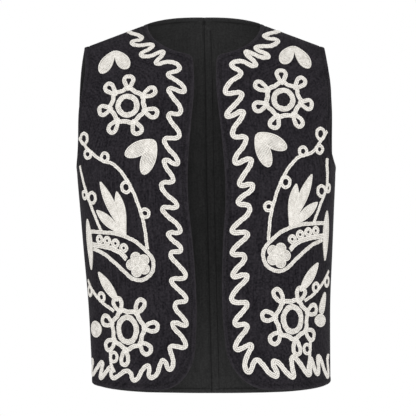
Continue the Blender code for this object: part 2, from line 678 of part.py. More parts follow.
def raised_motif(hand, shapes):
    """Corners and faces of a motif lifted off its front, crowned where it is wide."""
    flat, triangles = union_of(shapes)
    edges = {(t[i], t[(i + 1) % 3]) for t in triangles for i in range(3)}
    rim = [(a, b) for a, b in edges if (b, a) not in edges]
    on_rim = {corner for edge in rim for corner in edge}
    angle = np.array([angle_of_length("front", hand, out, up) for out, up in flat])
    height = flat[:, 1]
    place = outer_point("front", hand, angle, height)
    normal = outer_normal("front", hand, angle, height)
    count = len(flat)
    top = np.full((count, 1), EMBROIDERY_CROWN_TOP)
    top[sorted(on_rim)] = EMBROIDERY_EDGE_TOP
    corners = np.vstack([place + normal * top, place + normal * EMBROIDERY_LIFT])
    faces = list(triangles)
    faces += [tuple(count + corner for corner in reversed(t)) for t in triangles]
    faces += [(b, a, a + count, b + count) for a, b in rim]
    if hand == "right":
        faces = [tuple(reversed(f)) for f in faces]
    return corners, faces


def material(name, colour, roughness):
    made = bpy.data.materials.new(name)
    made.use_nodes = True
    shader = made.node_tree.nodes["Principled BSDF"]
    shader.inputs["Base Color"].default_value = (*colour, 1.0)
    shader.inputs["Roughness"].default_value = roughness
    shader.inputs["Metallic"].default_value = 0.0
    return made


def add_object(name, corners, faces, finish):
    mesh = bpy.data.meshes.new(name)
    mesh.from_pydata([tuple(corner) for corner in corners], [], faces)
    mesh.shade_smooth()
    mesh.set_sharp_from_angle(angle=math.radians(40))
    mesh.materials.append(finish)
    bpy.context.scene.collection.objects.link(bpy.data.objects.new(name, mesh))


def main():
    for old in list(bpy.data.objects):
        bpy.data.objects.remove(old)
    cotton = material("black_cotton", (0.022, 0.021, 0.025), 0.9)
    thread = material("ivory_thread", (0.80, 0.77, 0.71), 0.75)
    for hand in ("left", "right"):
        for face in ("front", "back"):
            add_object(f"{face}_{hand}", *cloth_wall(face, hand), cotton)
        for name, shapes in embroidery(hand).items():
            add_object(f"{name}_{hand}", *raised_motif(hand, shapes), thread)


main()
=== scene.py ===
import math
from collections import namedtuple

import bpy
import numpy as np
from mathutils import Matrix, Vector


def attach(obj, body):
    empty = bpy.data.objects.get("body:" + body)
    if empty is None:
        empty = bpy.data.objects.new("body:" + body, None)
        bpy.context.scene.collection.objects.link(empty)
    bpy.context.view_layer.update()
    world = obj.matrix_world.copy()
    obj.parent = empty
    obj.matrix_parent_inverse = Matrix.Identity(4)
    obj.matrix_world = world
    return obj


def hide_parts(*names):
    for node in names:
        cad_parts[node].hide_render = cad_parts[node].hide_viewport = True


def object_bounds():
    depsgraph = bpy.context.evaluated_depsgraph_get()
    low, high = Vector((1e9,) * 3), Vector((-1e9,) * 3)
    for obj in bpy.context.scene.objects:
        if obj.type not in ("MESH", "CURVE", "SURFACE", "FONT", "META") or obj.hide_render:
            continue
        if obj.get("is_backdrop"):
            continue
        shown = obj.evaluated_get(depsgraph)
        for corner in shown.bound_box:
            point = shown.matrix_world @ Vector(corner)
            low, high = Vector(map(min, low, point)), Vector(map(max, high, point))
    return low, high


# %% [markdown]
# # An embroidered folk vest, in its worn shape
#
# This lesson dresses a plain solid model of a sleeveless vest. The solids give its true size.
# Here they are replaced by thin cloth with turned edges and seams, and by rows of thread.
# Everything is worked out from named sizes, so any of them can be changed and run again.

# %% Start
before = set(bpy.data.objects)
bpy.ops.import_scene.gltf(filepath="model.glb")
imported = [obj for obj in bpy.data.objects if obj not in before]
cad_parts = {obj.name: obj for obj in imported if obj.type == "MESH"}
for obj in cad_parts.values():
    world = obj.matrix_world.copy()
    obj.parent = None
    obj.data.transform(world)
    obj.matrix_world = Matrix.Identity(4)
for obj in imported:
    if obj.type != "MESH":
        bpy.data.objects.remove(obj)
cad_low, cad_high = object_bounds()
print("solid model:", [round(high - low, 3) for low, high in zip(cad_low, cad_high)], "m")

# %% [markdown]
# ## Small helpers
#
# A line is an array of points, and a grid is an array of such lines. These functions put
# tables and columns together, find directions, and measure along a line.

# %% Helpers for arrays
PANELS = [(face, hand) for face in ("front", "back") for hand in ("left", "right")]
TINY = 1e-12


def table(names, *rows):
    """Rows of numbers under named columns; table.name is a column."""
    return np.rec.fromrecords(rows, names=names)


def columns(*parts):
    """Coordinates side by side, as points."""
    return np.stack(np.broadcast_arrays(*parts), axis=-1)


def unit(ways):
    """The same ways, each made one long."""
    return ways / np.maximum(np.linalg.norm(ways, axis=-1, keepdims=True), TINY)


def turned_left(ways):
    """Flat ways turned a quarter to their left."""
    return columns(-ways[..., 1], ways[..., 0])


def ways_along(line, closed=False):
    """Which way a line runs at each of its points."""
    if closed:
        return unit(np.roll(line, -1, axis=0) - np.roll(line, 1, axis=0))
    return unit(np.gradient(line, axis=0))


def run_lengths(line):
    """The length along a line, or along each line of a grid, up to each point."""
    steps = np.linalg.norm(np.diff(line, axis=-2), axis=-1)
    return np.insert(np.cumsum(steps, axis=-1), 0, 0.0, axis=-1)


def read_at(wanted, lengths, line):
    """The line's points, or what else it holds, at these lengths along it."""
    return columns(*[np.interp(wanted, lengths, column) for column in line.T])


def along(line, shares):
    """Points at these shares of a line's length."""
    lengths = run_lengths(line)
    return read_at(np.asarray(shares) * lengths[-1], lengths, line)


print("panels:", ", ".join(f"{face} {hand}" for face, hand in PANELS))

# %% [markdown]
# ## The camera, the light and the floor
#
# The picture was taken square on, from about four metres, with a long lens and a white room
# round the vest. A white world gives that even light. A wide lamp from the upper left and a
# weaker one from the right keep a little shade in the folds, and one just behind the camera
# reaches the inside of the back. A last one behind the vest shows the folds of its back. The
# floor is far below the vest.

# %% Camera and studio
VIEW_CENTRE = (0.0064, 0.0, -0.2944)
VIEW_DISTANCE = 4.0
VIEW_WIDTH = 0.6656
SENSOR_WIDTH = 36.0
FLOOR_HEIGHT = -1.3
FLOOR_SIZE = 14.0
Lamp = namedtuple("Lamp", "name place size power")
LAMPS = (
    Lamp("upper_left_lamp", (-1.9, -2.4, 1.3), 1.2, 17.0),
    Lamp("right_lamp", (2.3, -2.2, 0.2), 1.4, 9.0),
    Lamp("front_lamp", (0.0, -4.4, 0.0), 0.5, 42.0),
    Lamp("back_lamp", (2.4, 2.6, 1.2), 1.0, 26.0),
)

scene = bpy.context.scene
camera_place = (VIEW_CENTRE[0], -VIEW_DISTANCE, VIEW_CENTRE[2])
bpy.ops.object.camera_add(location=camera_place, rotation=(math.pi / 2, 0, 0))
camera = bpy.context.object
camera.data.sensor_width = SENSOR_WIDTH
camera.data.lens = SENSOR_WIDTH * VIEW_DISTANCE / VIEW_WIDTH
scene.camera = camera
scene.view_settings.view_transform = "Standard"

for lamp in LAMPS:
    bpy.ops.object.light_add(type="AREA", location=lamp.place)
    made = bpy.context.object
    made.name = lamp.name
    x, y, z = np.array(VIEW_CENTRE) - np.array(lamp.place)
    tilt = math.atan2(math.hypot(x, y), -z)
    made.rotation_euler = (tilt, 0.0, math.atan2(y, x) - math.pi / 2)
    made.data.size = lamp.size
    made.data.energy = lamp.power

world = bpy.data.worlds.new("white_room")
world.use_nodes = True
background = world.node_tree.nodes["Background"].inputs
background["Color"].default_value = (1.0, 1.0, 1.0, 1.0)
background["Strength"].default_value = 1.0
scene.world = world

bpy.ops.mesh.primitive_plane_add(size=FLOOR_SIZE, location=(0.0, 0.0, FLOOR_HEIGHT))
floor = bpy.context.object
floor.name = "studio_floor"
floor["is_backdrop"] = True
print("camera lens", round(camera.data.lens, 1), "mm")

# %% [markdown]
# ## The shape of the cloth
#
# A worn vest is a tube of cloth hung from two shoulder seams. Each height has a rounded
# section, wider than deep. Near the shoulders the depth shrinks to nothing, so that front and
# back meet in a ridge. A point of the cloth is named by its face, its side of the body, its
# angle round from the centre line and its height. Folds push it in or out.

# %% Sections round the body
NECK_HALF_WIDTH = 0.0905
SHOULDER_HALF_WIDTH = 0.192
SHOULDER_SLOPE = 0.3725
FRONT_NECK_DROP = 0.0545
BACK_NECK_HEIGHT = 0.016
FRONT_HEM = -0.578
SIDE_HEM = -0.569
BACK_HEM = -0.599
UNDERARM = -0.232
CORNER_HEIGHT = 0.077
CORNER_WIDTHS = {"left": 0.070, "right": 0.058}

Rounding = namedtuple("Rounding", "reach fall blend neck_rise")
ROUNDINGS = {
    "front": Rounding(reach=0.24, fall=2.2, blend=1.4, neck_rise=0.0),
    "back": Rounding(reach=0.20, fall=2.2, blend=1.5, neck_rise=0.050),
}
SECTIONS = table(
    "height, half_width, front_depth, back_depth, squareness, sway",
    (-0.61, 0.1898, 0.121, 0.117, 2.35, 0.0128),
    (-0.52, 0.1912, 0.120, 0.111, 2.35, 0.0106),
    (-0.44, 0.1936, 0.121, 0.105, 2.40, 0.0084),
    (-0.36, 0.1988, 0.124, 0.103, 2.50, 0.0064),
    (-0.30, 0.2024, 0.125, 0.105, 2.70, 0.0050),
    (-0.235, 0.2062, 0.122, 0.109, 3.00, 0.0036),
    (-0.17, 0.2074, 0.118, 0.112, 3.30, 0.0028),
    (-0.10, 0.2075, 0.117, 0.113, 3.40, 0.0020),
    (0.00, 0.2070, 0.117, 0.113, 3.40, 0.0000),
    (0.07, 0.2070, 0.117, 0.113, 3.40, 0.0000),
)


def smooth_curve(places, values):
    """A smooth curve through a table's rows, as a function of the first column."""
    places = np.array(places, float)
    values = np.array(values, float)
    slopes = np.gradient(values, places)

    def value(at):
        at = np.clip(at, places[0], places[-1])
        row = np.clip(np.searchsorted(places, at, side="right") - 1, 0, len(places) - 2)
        step = places[row + 1] - places[row]
        t = (at - places[row]) / step
        ends = values[row] * (1 + 2 * t) * (1 - t) ** 2 + values[row + 1] * t * t * (3 - 2 * t)
        return ends + step * t * (1 - t) * (slopes[row] * (1 - t) - slopes[row + 1] * t)

    return value


def section_column(name):
    return smooth_curve(SECTIONS.height, SECTIONS[name])


half_width_at = section_column("half_width")
squareness_at = section_column("squareness")
sway_at = section_column("sway")
depth_at = {"front": section_column("front_depth"), "back": section_column("back_depth")}


def shoulder_height(x, neck_rise):
    """Height of the ridge over x: the shoulder seam, and its smooth line over the neck."""
    share = np.minimum(np.abs(x) / NECK_HALF_WIDTH, 1.0)
    over_neck = 0.5 * SHOULDER_SLOPE * NECK_HALF_WIDTH * (1 - share**2)
    over_neck = over_neck + neck_rise * (1 - share**2) ** 2
    return over_neck - SHOULDER_SLOPE * np.maximum(np.abs(x) - NECK_HALF_WIDTH, 0.0)


def fullness(face, below_ridge):
    """0 on the shoulder ridge, growing to 1 where the chest or back is full."""
    rounding = ROUNDINGS[face]
    left = 1 - np.clip(below_ridge / rounding.reach, 0.0, 1.0)
    return np.maximum(1 - left**rounding.fall, 0.0) ** (1 / rounding.blend)


print("bust, side to side:", round(2 * float(half_width_at(-0.15)), 3), "m")

# %% [markdown]
# ## Folds
#
# For each panel the big folds of the solid come first in this table. After them come the
# small creases that only show close to, at the armholes, under the bust and over the hips.
# Each is a long soft trough or ridge with its own length, depth and width, because even ones
# would look pressed. Heights and sizes are in metres, and angles in degrees from the centre.

# %% Fold table
FOLD_COLUMNS = "top, top_angle, bottom, bottom_angle, depth, width"
FOLDS = {
    "front_right": table(
        FOLD_COLUMNS,
        (-0.06, 56.0, -0.27, 60.0, -0.0026, 0.020),
        (-0.08, 64.0, -0.24, 70.0, 0.0022, 0.018),
        (-0.36, 72.0, -0.56, 76.0, 0.0022, 0.028),
        (-0.07, 62.0, -0.20, 67.5, -0.0026, 0.0062),
        (-0.17, 66.0, -0.24, 74.0, -0.0024, 0.0056),
        (-0.10, 55.0, -0.25, 57.0, 0.0018, 0.0080),
        (-0.23, 75.0, -0.33, 66.0, 0.0016, 0.0090),
        (-0.33, 44.0, -0.47, 50.0, -0.0008, 0.0100),
    ),
    "front_left": table(
        FOLD_COLUMNS,
        (-0.13, 58.0, -0.30, 66.0, -0.0020, 0.024),
        (-0.40, 74.0, -0.56, 72.0, -0.0020, 0.030),
        (-0.16, 62.0, -0.26, 70.0, -0.0021, 0.0060),
        (-0.20, 73.0, -0.30, 65.0, 0.0017, 0.0080),
        (-0.30, 50.0, -0.42, 46.0, 0.0009, 0.0110),
        (-0.48, 70.0, -0.55, 66.0, -0.0011, 0.0080),
    ),
    "back_right": table(
        FOLD_COLUMNS,
        (-0.16, 34.0, -0.58, 30.0, 0.0040, 0.036),
        (-0.24, 60.0, -0.58, 58.0, -0.0036, 0.034),
        (-0.05, 44.0, -0.20, 52.0, -0.0028, 0.0110),
        (-0.21, 74.0, -0.33, 60.0, 0.0024, 0.0100),
        (-0.36, 42.0, -0.50, 46.0, -0.0026, 0.0130),
        (-0.30, 16.0, -0.46, 20.0, 0.0020, 0.0130),
    ),
    "back_left": table(
        FOLD_COLUMNS,
        (-0.18, 38.0, -0.58, 33.0, 0.0036, 0.036),
        (-0.22, 64.0, -0.58, 62.0, -0.0032, 0.034),
        (-0.06, 50.0, -0.19, 56.0, 0.0025, 0.0100),
        (-0.22, 72.0, -0.31, 62.0, -0.0026, 0.0090),
        (-0.33, 48.0, -0.52, 44.0, 0.0025, 0.0130),
        (-0.34, 14.0, -0.44, 17.0, -0.0018, 0.0120),
    ),
}
CREASE_WIDTH = 0.015
CREASE_FADE = 0.045
FOLD_FADE = 0.08
SEAM_FADE = math.radians(9)


def fold_depth(face, hand, angle, height):
    """How far the folds and creases push the cloth out at this place."""
    total = np.zeros(np.broadcast(angle, height).shape)
    for fold in FOLDS[f"{face}_{hand}"]:
        fade = CREASE_FADE if fold.width < CREASE_WIDTH else FOLD_FADE
        along_fold = np.clip((fold.top - height) / (fold.top - fold.bottom), 0.0, 1.0)
        centre = fold.top_angle + (fold.bottom_angle - fold.top_angle) * along_fold
        across = np.radians(np.degrees(angle) - centre) * half_width_at(height)
        fade_in = np.clip((fold.top - height) / fade, 0.0, 1.0)
        open_end = fold.bottom < SIDE_HEM + FOLD_FADE
        fade_out = 1.0 if open_end else np.clip((height - fold.bottom) / fade, 0.0, 1.0)
        window = fade_in**2 * (3 - 2 * fade_in) * fade_out**2 * (3 - 2 * fade_out)
        total = total + fold.depth * np.exp(-((across / fold.width) ** 2)) * window
    return total * np.clip((math.pi / 2 - angle) / SEAM_FADE, 0.0, 1.0)


def cloth_point(face, hand, angle, height):
    """A point of the cloth's outer face; angle is 0 on the centre line, a right angle at the side."""
    angle, height = np.broadcast_arrays(np.asarray(angle, float), np.asarray(height, float))
    power = squareness_at(height)
    sine = np.abs(np.sin(angle))
    cosine = np.abs(np.cos(angle))
    shares = (sine / half_width_at(height)) ** power + (cosine / depth_at[face](height)) ** power
    radius = shares ** (-1 / power) + fold_depth(face, hand, angle, height)
    x = radius * sine
    below = shoulder_height(x, ROUNDINGS[face].neck_rise) - height
    y = radius * cosine * fullness(face, below)
    across = 1 if hand == "left" else -1
    back = 1 if face == "back" else -1
    return columns(across * x + sway_at(height), back * y, height)


def outward_sign(face, hand):
    return 1 if (hand == "left") == (face == "front") else -1


def cloth_normal(face, hand, angle, height):
    """The direction out of the cloth, from its slope round the body and downwards."""
    turn = 0.004
    step = 0.0005
    ahead = cloth_point(face, hand, np.minimum(angle + turn, math.pi / 2), height)
    behind = cloth_point(face, hand, np.maximum(angle - turn, 0.0), height)
    upper = cloth_point(face, hand, angle, height + step)
    lower = cloth_point(face, hand, angle, height - step)
    return unit(np.cross(ahead - behind, upper - lower) * outward_sign(face, hand))


print(sum(len(rows) for rows in FOLDS.values()), "folds and creases")

# %% [markdown]
# ## Measuring along the cloth
#
# A tailor measures along the cloth and not through the air. This table holds the length of
# cloth from the centre line to each angle, at each height. With it a place on the cloth can be
# given as a length out and a height, which is how the embroidery is drawn later on.

# %% Length table
TABLE_HEIGHTS = np.linspace(-0.61, 0.07, 341)
TABLE_ANGLES = np.linspace(0.0, math.pi / 2, 241)
CLOTH_LENGTHS = {}
for face, hand in PANELS:
    points = cloth_point(face, hand, TABLE_ANGLES[None, :], TABLE_HEIGHTS[:, None])
    CLOTH_LENGTHS[face, hand] = run_lengths(points)


def table_rows(face, hand, height):
    """The table's lengths at each of these heights."""
    place = (np.asarray(height) - TABLE_HEIGHTS[0]) / (TABLE_HEIGHTS[1] - TABLE_HEIGHTS[0])
    row = np.clip(place.astype(int), 0, len(TABLE_HEIGHTS) - 2)
    share = np.clip(place - row, 0.0, 1.0)[:, None]
    lengths = CLOTH_LENGTHS[face, hand]
    return lengths[row] * (1 - share) + lengths[row + 1] * share


def length_at(face, hand, angle, height):
    rows = table_rows(face, hand, height)
    return np.array([np.interp(a, TABLE_ANGLES, row) for a, row in zip(angle, rows)])


def angle_at(face, hand, length, height):
    rows = table_rows(face, hand, height)
    return np.array([np.interp(out, row, TABLE_ANGLES) for out, row in zip(length, rows)])


def angle_of_x(face, x, height):
    """The angle at which the section of this height is x away from the centre line."""
    power = squareness_at(height)
    share = np.clip(x / half_width_at(height), 0.0, 1.0)
    return np.arctan2(x, depth_at[face](height) * (1 - share**power) ** (1 / power))


def spline(points, steps):
    """Points on a smooth curve through the given ones, with so many steps between each two."""
    points = np.array(points, float)
    padded = np.vstack([2 * points[0] - points[1], points, 2 * points[-1] - points[-2]])
    curve = []
    for a, b, c, d in zip(padded, padded[1:], padded[2:], padded[3:]):
        for t in np.arange(steps) / steps:
            even = 2 * b + (c - a) * t + (2 * a - 5 * b + 4 * c - d) * t**2
            curve.append(0.5 * (even + (3 * b - a - 3 * c + d) * t**3))
    return np.array(curve + [points[-1]])


print("half girth at the bust:", round(float(length_at("front", "left", [math.pi / 2], [-0.2])[0]), 3))

# %% [markdown]
# ## The cut of the panels
#
# The vest is two fronts and two halves of the back. Each panel has an inner side (the front
# edge with its neckline, or the centre seam) and an outer side (the side seam and armhole).
# These two lines are cut into the same number of rows, and a grid of cloth is hung between
# them, with its rows closer together near the hem and its columns closer near both edges.

# %% Edges of the panels
FRONT_EDGE = table(
    "height, gap",
    (-0.501, 0.0228),
    (-0.465, 0.0202),
    (-0.420, 0.0200),
    (-0.380, 0.0216),
    (-0.335, 0.0244),
    (-0.290, 0.0285),
    (-0.250, 0.0290),
    (-0.200, 0.0262),
    (-0.143, 0.0206),
    (-0.106, 0.0172),
    (-0.068, 0.0180),
)
NECK_CORNER = table("height, gap", (-0.0605, 0.0188), (-0.0548, 0.0220))
NECK_CORNER_TURN = math.radians(19)
front_gap_at = smooth_curve(FRONT_EDGE.height, FRONT_EDGE.gap)

ARMHOLE = table(
    "height, front_left, front_right, back",
    (-0.2320, 90.0, 90.0, 90.0),
    (-0.2265, 80.5, 82.5, 83.5),
    (-0.2120, 73.8, 77.5, 79.0),
    (-0.1850, 70.8, 74.5, 77.6),
    (-0.1410, 71.8, 73.0, 77.2),
    (-0.1060, 72.3, 69.4, 75.5),
    (-0.0690, 70.2, 67.4, 72.6),
)
ARMHOLE_STEPS = 8
CORNER_ROWS = 6
EDGE_ROWS = 12
SIDE_SEAM_ROWS = 13
NECKLINE_POINTS = 24
BACK_NECK_ROUNDING = 2.5
NECKLINE_SHARES = (0.0, 0.18, 0.36, 0.54, 0.71, 0.86, 0.96, 1.0)
BACK_NECK_SHARES = (0.0, 0.22, 0.44, 0.64, 0.81, 0.94, 1.0)
ARMHOLE_SHARES = (
    *(0.0, 0.06, 0.13, 0.21, 0.29, 0.37, 0.45, 0.53),
    *(0.61, 0.69, 0.77, 0.84, 0.90, 0.95, 0.985, 1.0),
)


def front_opening(hand):
    """The front's free edge as x and height: round corner, straight edge, neck corner, neckline."""
    lowest, highest = FRONT_EDGE[0], FRONT_EDGE[-1]
    turns = np.linspace(0.0, math.pi / 2, CORNER_ROWS + 1)
    corner_x = lowest.gap + CORNER_WIDTHS[hand] * (1 - np.sin(turns))
    corner = columns(corner_x, FRONT_HEM + CORNER_HEIGHT * (1 - np.cos(turns)))
    heights = np.linspace(lowest.height, highest.height, EDGE_ROWS + 1)
    edge = columns(front_gap_at(heights), heights)
    ring = np.linspace(NECK_CORNER_TURN, math.pi / 2, NECKLINE_POINTS)
    neckline = columns(NECK_HALF_WIDTH * np.sin(ring), -FRONT_NECK_DROP * np.cos(ring))
    neck_corner = columns(NECK_CORNER.gap, NECK_CORNER.height)
    return np.vstack([corner[:-1], edge, neck_corner, along(neckline, NECKLINE_SHARES)])


LAST_ROW = len(front_opening("left")) - 1
BACK_NECK_ROW = LAST_ROW + 1 - len(BACK_NECK_SHARES)


def back_centre():
    """The back's inner side as x and height: centre seam from hem to neck, then the neckline."""
    heights = np.linspace(BACK_HEM, BACK_NECK_HEIGHT, BACK_NECK_ROW + 1)
    share = np.linspace(0.0, 1.0, NECKLINE_POINTS)
    drop = 1 - share**BACK_NECK_ROUNDING
    neckline = columns(NECK_HALF_WIDTH * share, BACK_NECK_HEIGHT * drop)
    return np.vstack([columns(0.0, heights[:-1]), along(neckline, BACK_NECK_SHARES)])


def outer_side(face, hand):
    """Side seam from the hem up, then the armhole, as angle and height."""
    heights = np.linspace(SIDE_HEM, UNDERARM, SIDE_SEAM_ROWS + 1)
    seam = columns(math.pi / 2, heights[:-1])
    tip_height = float(shoulder_height(SHOULDER_HALF_WIDTH, 0.0))
    tip = (float(angle_of_x(face, SHOULDER_HALF_WIDTH, tip_height)), tip_height)
    turns = np.radians(ARMHOLE["back" if face == "back" else f"front_{hand}"])
    scale = np.array([SHOULDER_HALF_WIDTH, 1.0])
    line = spline(np.vstack([columns(turns, ARMHOLE.height), tip]) * scale, ARMHOLE_STEPS)
    return np.vstack([seam, along(line, ARMHOLE_SHARES) / scale])


ROW_PLACES = np.concatenate([
    [0.0, 0.03, 0.06, 0.1, 0.15, 0.2, 0.26, 0.32, 0.4, 0.5],
    np.arange(0.6, 5.9, 0.15),
    np.arange(6.0, LAST_ROW - 0.3, 0.2),
    [LAST_ROW - 0.3, LAST_ROW - 0.15, LAST_ROW - 0.06, LAST_ROW],
])
NEAR_EDGE = np.array([0.0, 0.4, 1.2, 2.6, 4.5, 6.2, 7.2, 7.8, 8.4, 9.5, 12.5]) * 0.001
MIDDLE_COLUMNS = 32
RIM_BEND = 6
underarm_row, neck_row = np.searchsorted(ROW_PLACES, (SIDE_SEAM_ROWS, BACK_NECK_ROW))


def fine_rows(values, corner=0):
    """A column of the cut's rows, made fine; the line may turn sharply at the corner row."""
    rows = np.arange(LAST_ROW + 1)
    fine = smooth_curve(rows[corner:], values[corner:])(ROW_PLACES)
    if corner:
        below = smooth_curve(rows[: corner + 1], values[: corner + 1])(ROW_PLACES)
        fine = np.where(ROW_PLACES < corner, below, fine)
    return fine[:, None]


def panel_grid(face, hand):
    """Angles and heights of a panel's fine grid, rows from the hem up, columns from the centre."""
    inner = front_opening(hand) if face == "front" else back_centre()
    outer = outer_side(face, hand)
    neck_corner = BACK_NECK_ROW if face == "back" else 0
    inner_angle = fine_rows(angle_of_x(face, inner[:, 0], inner[:, 1]), neck_corner)
    inner_height = fine_rows(inner[:, 1], neck_corner)
    outer_angle = np.minimum(fine_rows(outer[:, 0], SIDE_SEAM_ROWS), math.pi / 2)
    outer_height = fine_rows(outer[:, 1], SIDE_SEAM_ROWS)
    start = length_at(face, hand, inner_angle[:, 0], inner_height[:, 0])[:, None]
    end = length_at(face, hand, outer_angle[:, 0], outer_height[:, 0])[:, None]
    near = NEAR_EDGE[None, :] / (end - start)
    middle = np.linspace(0.0, 1.0, MIDDLE_COLUMNS + 2)[None, 1:-1]
    low = near[:, -1:]
    shares = np.hstack([near, low + (1 - 2 * low) * middle, 1 - near[:, ::-1]])
    height = inner_height + (outer_height - inner_height) * shares
    length = start + (end - start) * shares
    angle = angle_at(face, hand, length.ravel(), height.ravel()).reshape(height.shape)
    angle[:, :1] = inner_angle
    angle[:, -1:] = outer_angle
    share_up = (ROW_PLACES / LAST_ROW)[:, None]
    side = cloth_point(face, "left", angle, height)[..., 0] - sway_at(height)
    ridge = shoulder_height(side, ROUNDINGS[face].neck_rise)
    ridge_dip = ridge - (ridge[:, :1] + (ridge[:, -1:] - ridge[:, :1]) * shares)
    middle_hem = FRONT_HEM if face == "front" else BACK_HEM
    hem_dip = (SIDE_HEM - middle_hem) * (shares**3 - shares)
    return angle, height + share_up**RIM_BEND * ridge_dip + (1 - share_up) ** RIM_BEND * hem_dip


print("each panel is a grid of", len(ROW_PLACES), "rows")

# %% [markdown]
# ## Turned edges and seams
#
# Cloth is turned in along every free edge and stitched down 8 mm inside it. There it is two
# layers thick, with a rounded lip and a narrow dent where the stitches pull. At a seam the
# cloth only dips. Both come from how far each point lies from the nearest edge. So does a
# value of wear and painted light, for the finish: above 0 on the lips, which are painted
# lighter, partly for rubbing and partly as a painted highlight; below 0 in the seams and along
# the stitches, where painted shade makes the cloth darker.

# %% Cloth with a thickness
# Columns: distance from a free edge, then the height of the outer face and depth of the inner
EDGE_PROFILE = table(
    "distance, out, inside",
    (0.0, -0.0004, 0.0010),
    (0.0004, 0.0001, 0.0014),
    (0.0012, 0.0005, 0.0018),
    (0.0045, 0.0004, 0.0018),
    (0.0072, -0.0002, 0.0019),
    (0.0078, -0.0009, 0.0017),
    (0.0084, -0.0004, 0.0018),
    (0.0095, 0.0, 0.0010),
    (0.0125, 0.0, 0.0010),
)
SEAM_DIP = 0.0007
SEAM_DIP_WIDTH = 0.0013
# Painted shade: a dark line painted along each seam, over its dip.
SEAM_SHADE = 0.7
# Painted lighter lips of the free edges: partly rubbed wear, partly a painted highlight.
LIP_WEAR_AND_HIGHLIGHT = table("distance, wear", (0.0, 1.0), (0.001, 0.5), (0.0035, 0.0))
# Painted shade along the line of stitches, 7.8 mm in from each free edge, over the dent.
STITCH_PAINTED_SHADE = table("distance, shade", (0.0062, 0.0), (0.0078, 0.6), (0.0094, 0.0))


def distance_to(points, line):
    """The shortest way from each point to a line of straight pieces."""
    start = line[:-1]
    piece = line[1:] - start
    squares = np.maximum((piece**2).sum(axis=1), TINY)
    away = points[:, None, :] - start[None]
    share = np.clip((away * piece[None]).sum(axis=2) / squares, 0.0, 1.0)
    gap = away - share[..., None] * piece[None]
    return np.sqrt((gap**2).sum(axis=2).min(axis=1))


def new_object(name, corners, faces, uv=None, wear=None):
    """A smooth mesh object at the origin, with a UV map and a wear and painted light value if given."""
    mesh = bpy.data.meshes.new(name)
    mesh.from_pydata(corners.tolist(), [], faces)
    mesh.polygons.foreach_set("use_smooth", [True] * len(mesh.polygons))
    if uv is not None:
        loops = np.empty(len(mesh.loops), np.int32)
        mesh.loops.foreach_get("vertex_index", loops)
        layer = mesh.uv_layers.new(name="run")
        layer.data.foreach_set("uv", uv[loops].astype(np.float32).ravel())
    if wear is not None:
        layer = mesh.attributes.new("wear", "FLOAT", "POINT")
        layer.data.foreach_set("value", wear.astype(np.float32))
    made = bpy.data.objects.new(name, mesh)
    scene.collection.objects.link(made)
    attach(made, "root")
    return made


def shell(name, outer, inner, uv, wear, flip):
    """A closed sheet between two grids of points, with its rim; its inner side has slot 1."""
    rows, width = outer.shape[:2]
    skin = rows * width
    index = np.arange(skin).reshape(rows, width)
    quads = columns(index[:-1, :-1], index[:-1, 1:], index[1:, 1:], index[1:, :-1])
    quads = quads.reshape(-1, 4)
    ring = np.concatenate([index[0], index[1:, -1], index[-1, -2::-1], index[-2:0:-1, 0]])
    after = np.roll(ring, -1)
    rim = columns(after, ring, ring + skin, after + skin)
    faces = np.vstack([quads, quads[:, ::-1] + skin, rim])
    if flip:
        faces = faces[:, ::-1]
    corners = np.vstack([outer.reshape(-1, 3), inner.reshape(-1, 3)])
    both_uv = np.tile(uv.reshape(-1, 2), (2, 1))
    made = new_object(name, corners, faces.tolist(), both_uv, np.tile(wear.ravel(), 2))
    wrong_side_with_painted_light = np.zeros(len(faces), np.int32)
    wrong_side_with_painted_light[len(quads) : 2 * len(quads)] = 1
    made.data.materials.append(None)
    made.data.materials.append(None)
    made.data.polygons.foreach_set("material_index", wrong_side_with_painted_light)
    return made


PanelLines = namedtuple("PanelLines", "points normals flat free seams")


def panel_lines(face, hand):
    """The panel's outer points and normals, and its free edges and seams as lines."""
    angle, height = panel_grid(face, hand)
    points = cloth_point(face, hand, angle, height)
    normals = cloth_normal(face, hand, angle, height)
    normals[-1, :, 1] = 0.0
    normals[: underarm_row + 1, -1, 1] = 0.0
    seams = [points[-1], points[: underarm_row + 1, -1]]
    inner = points[:, 0]
    if face == "back":
        normals[: neck_row + 1, 0, 0] = 0.0
        seams.append(points[: neck_row + 1, 0])
        inner = points[neck_row:, 0]
    free = [points[0], points[underarm_row:, -1], inner]
    length = length_at(face, hand, angle.ravel(), height.ravel()).reshape(angle.shape)
    return PanelLines(points, unit(normals), columns(length, height), free, seams)


LINES = {}
panels = {}
for face, hand in PANELS:
    name = f"{face}_{hand}"
    lines = panel_lines(face, hand)
    LINES[name] = lines
    points = lines.points.reshape(-1, 3)
    to_free, to_seam = [
        np.min([distance_to(points, line) for line in group], axis=0)
        for group in (lines.free, lines.seams)
    ]
    in_seam = np.exp(-((to_seam / SEAM_DIP_WIDTH) ** 2))
    out = np.interp(to_free, EDGE_PROFILE.distance, EDGE_PROFILE.out) - SEAM_DIP * in_seam
    inside = np.interp(to_free, EDGE_PROFILE.distance, EDGE_PROFILE.inside)
    grid_shape = lines.points.shape[:2] + (1,)
    outer = lines.points + lines.normals * out.reshape(grid_shape)
    inner = lines.points - lines.normals * inside.reshape(grid_shape)
    uv = columns(run_lengths(lines.points), lines.points[..., 2])
    # The lips are painted lighter, partly for rubbing and partly as a highlight. Seams and stitch lines
    # get painted shade; where both shades meet, the darker one counts.
    lip_wear_and_highlight = np.interp(to_free, LIP_WEAR_AND_HIGHLIGHT.distance, LIP_WEAR_AND_HIGHLIGHT.wear)
    stitch_painted_shade = np.interp(to_free, STITCH_PAINTED_SHADE.distance, STITCH_PAINTED_SHADE.shade)
    wear = lip_wear_and_highlight - np.maximum(SEAM_SHADE * in_seam, stitch_painted_shade)
    flip = outward_sign(face, hand) < 0
    panels[name] = shell(name + "_cloth", outer, inner, uv, wear, flip)
    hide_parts(name)
print("panels:", ", ".join(panel.name for panel in panels.values()))
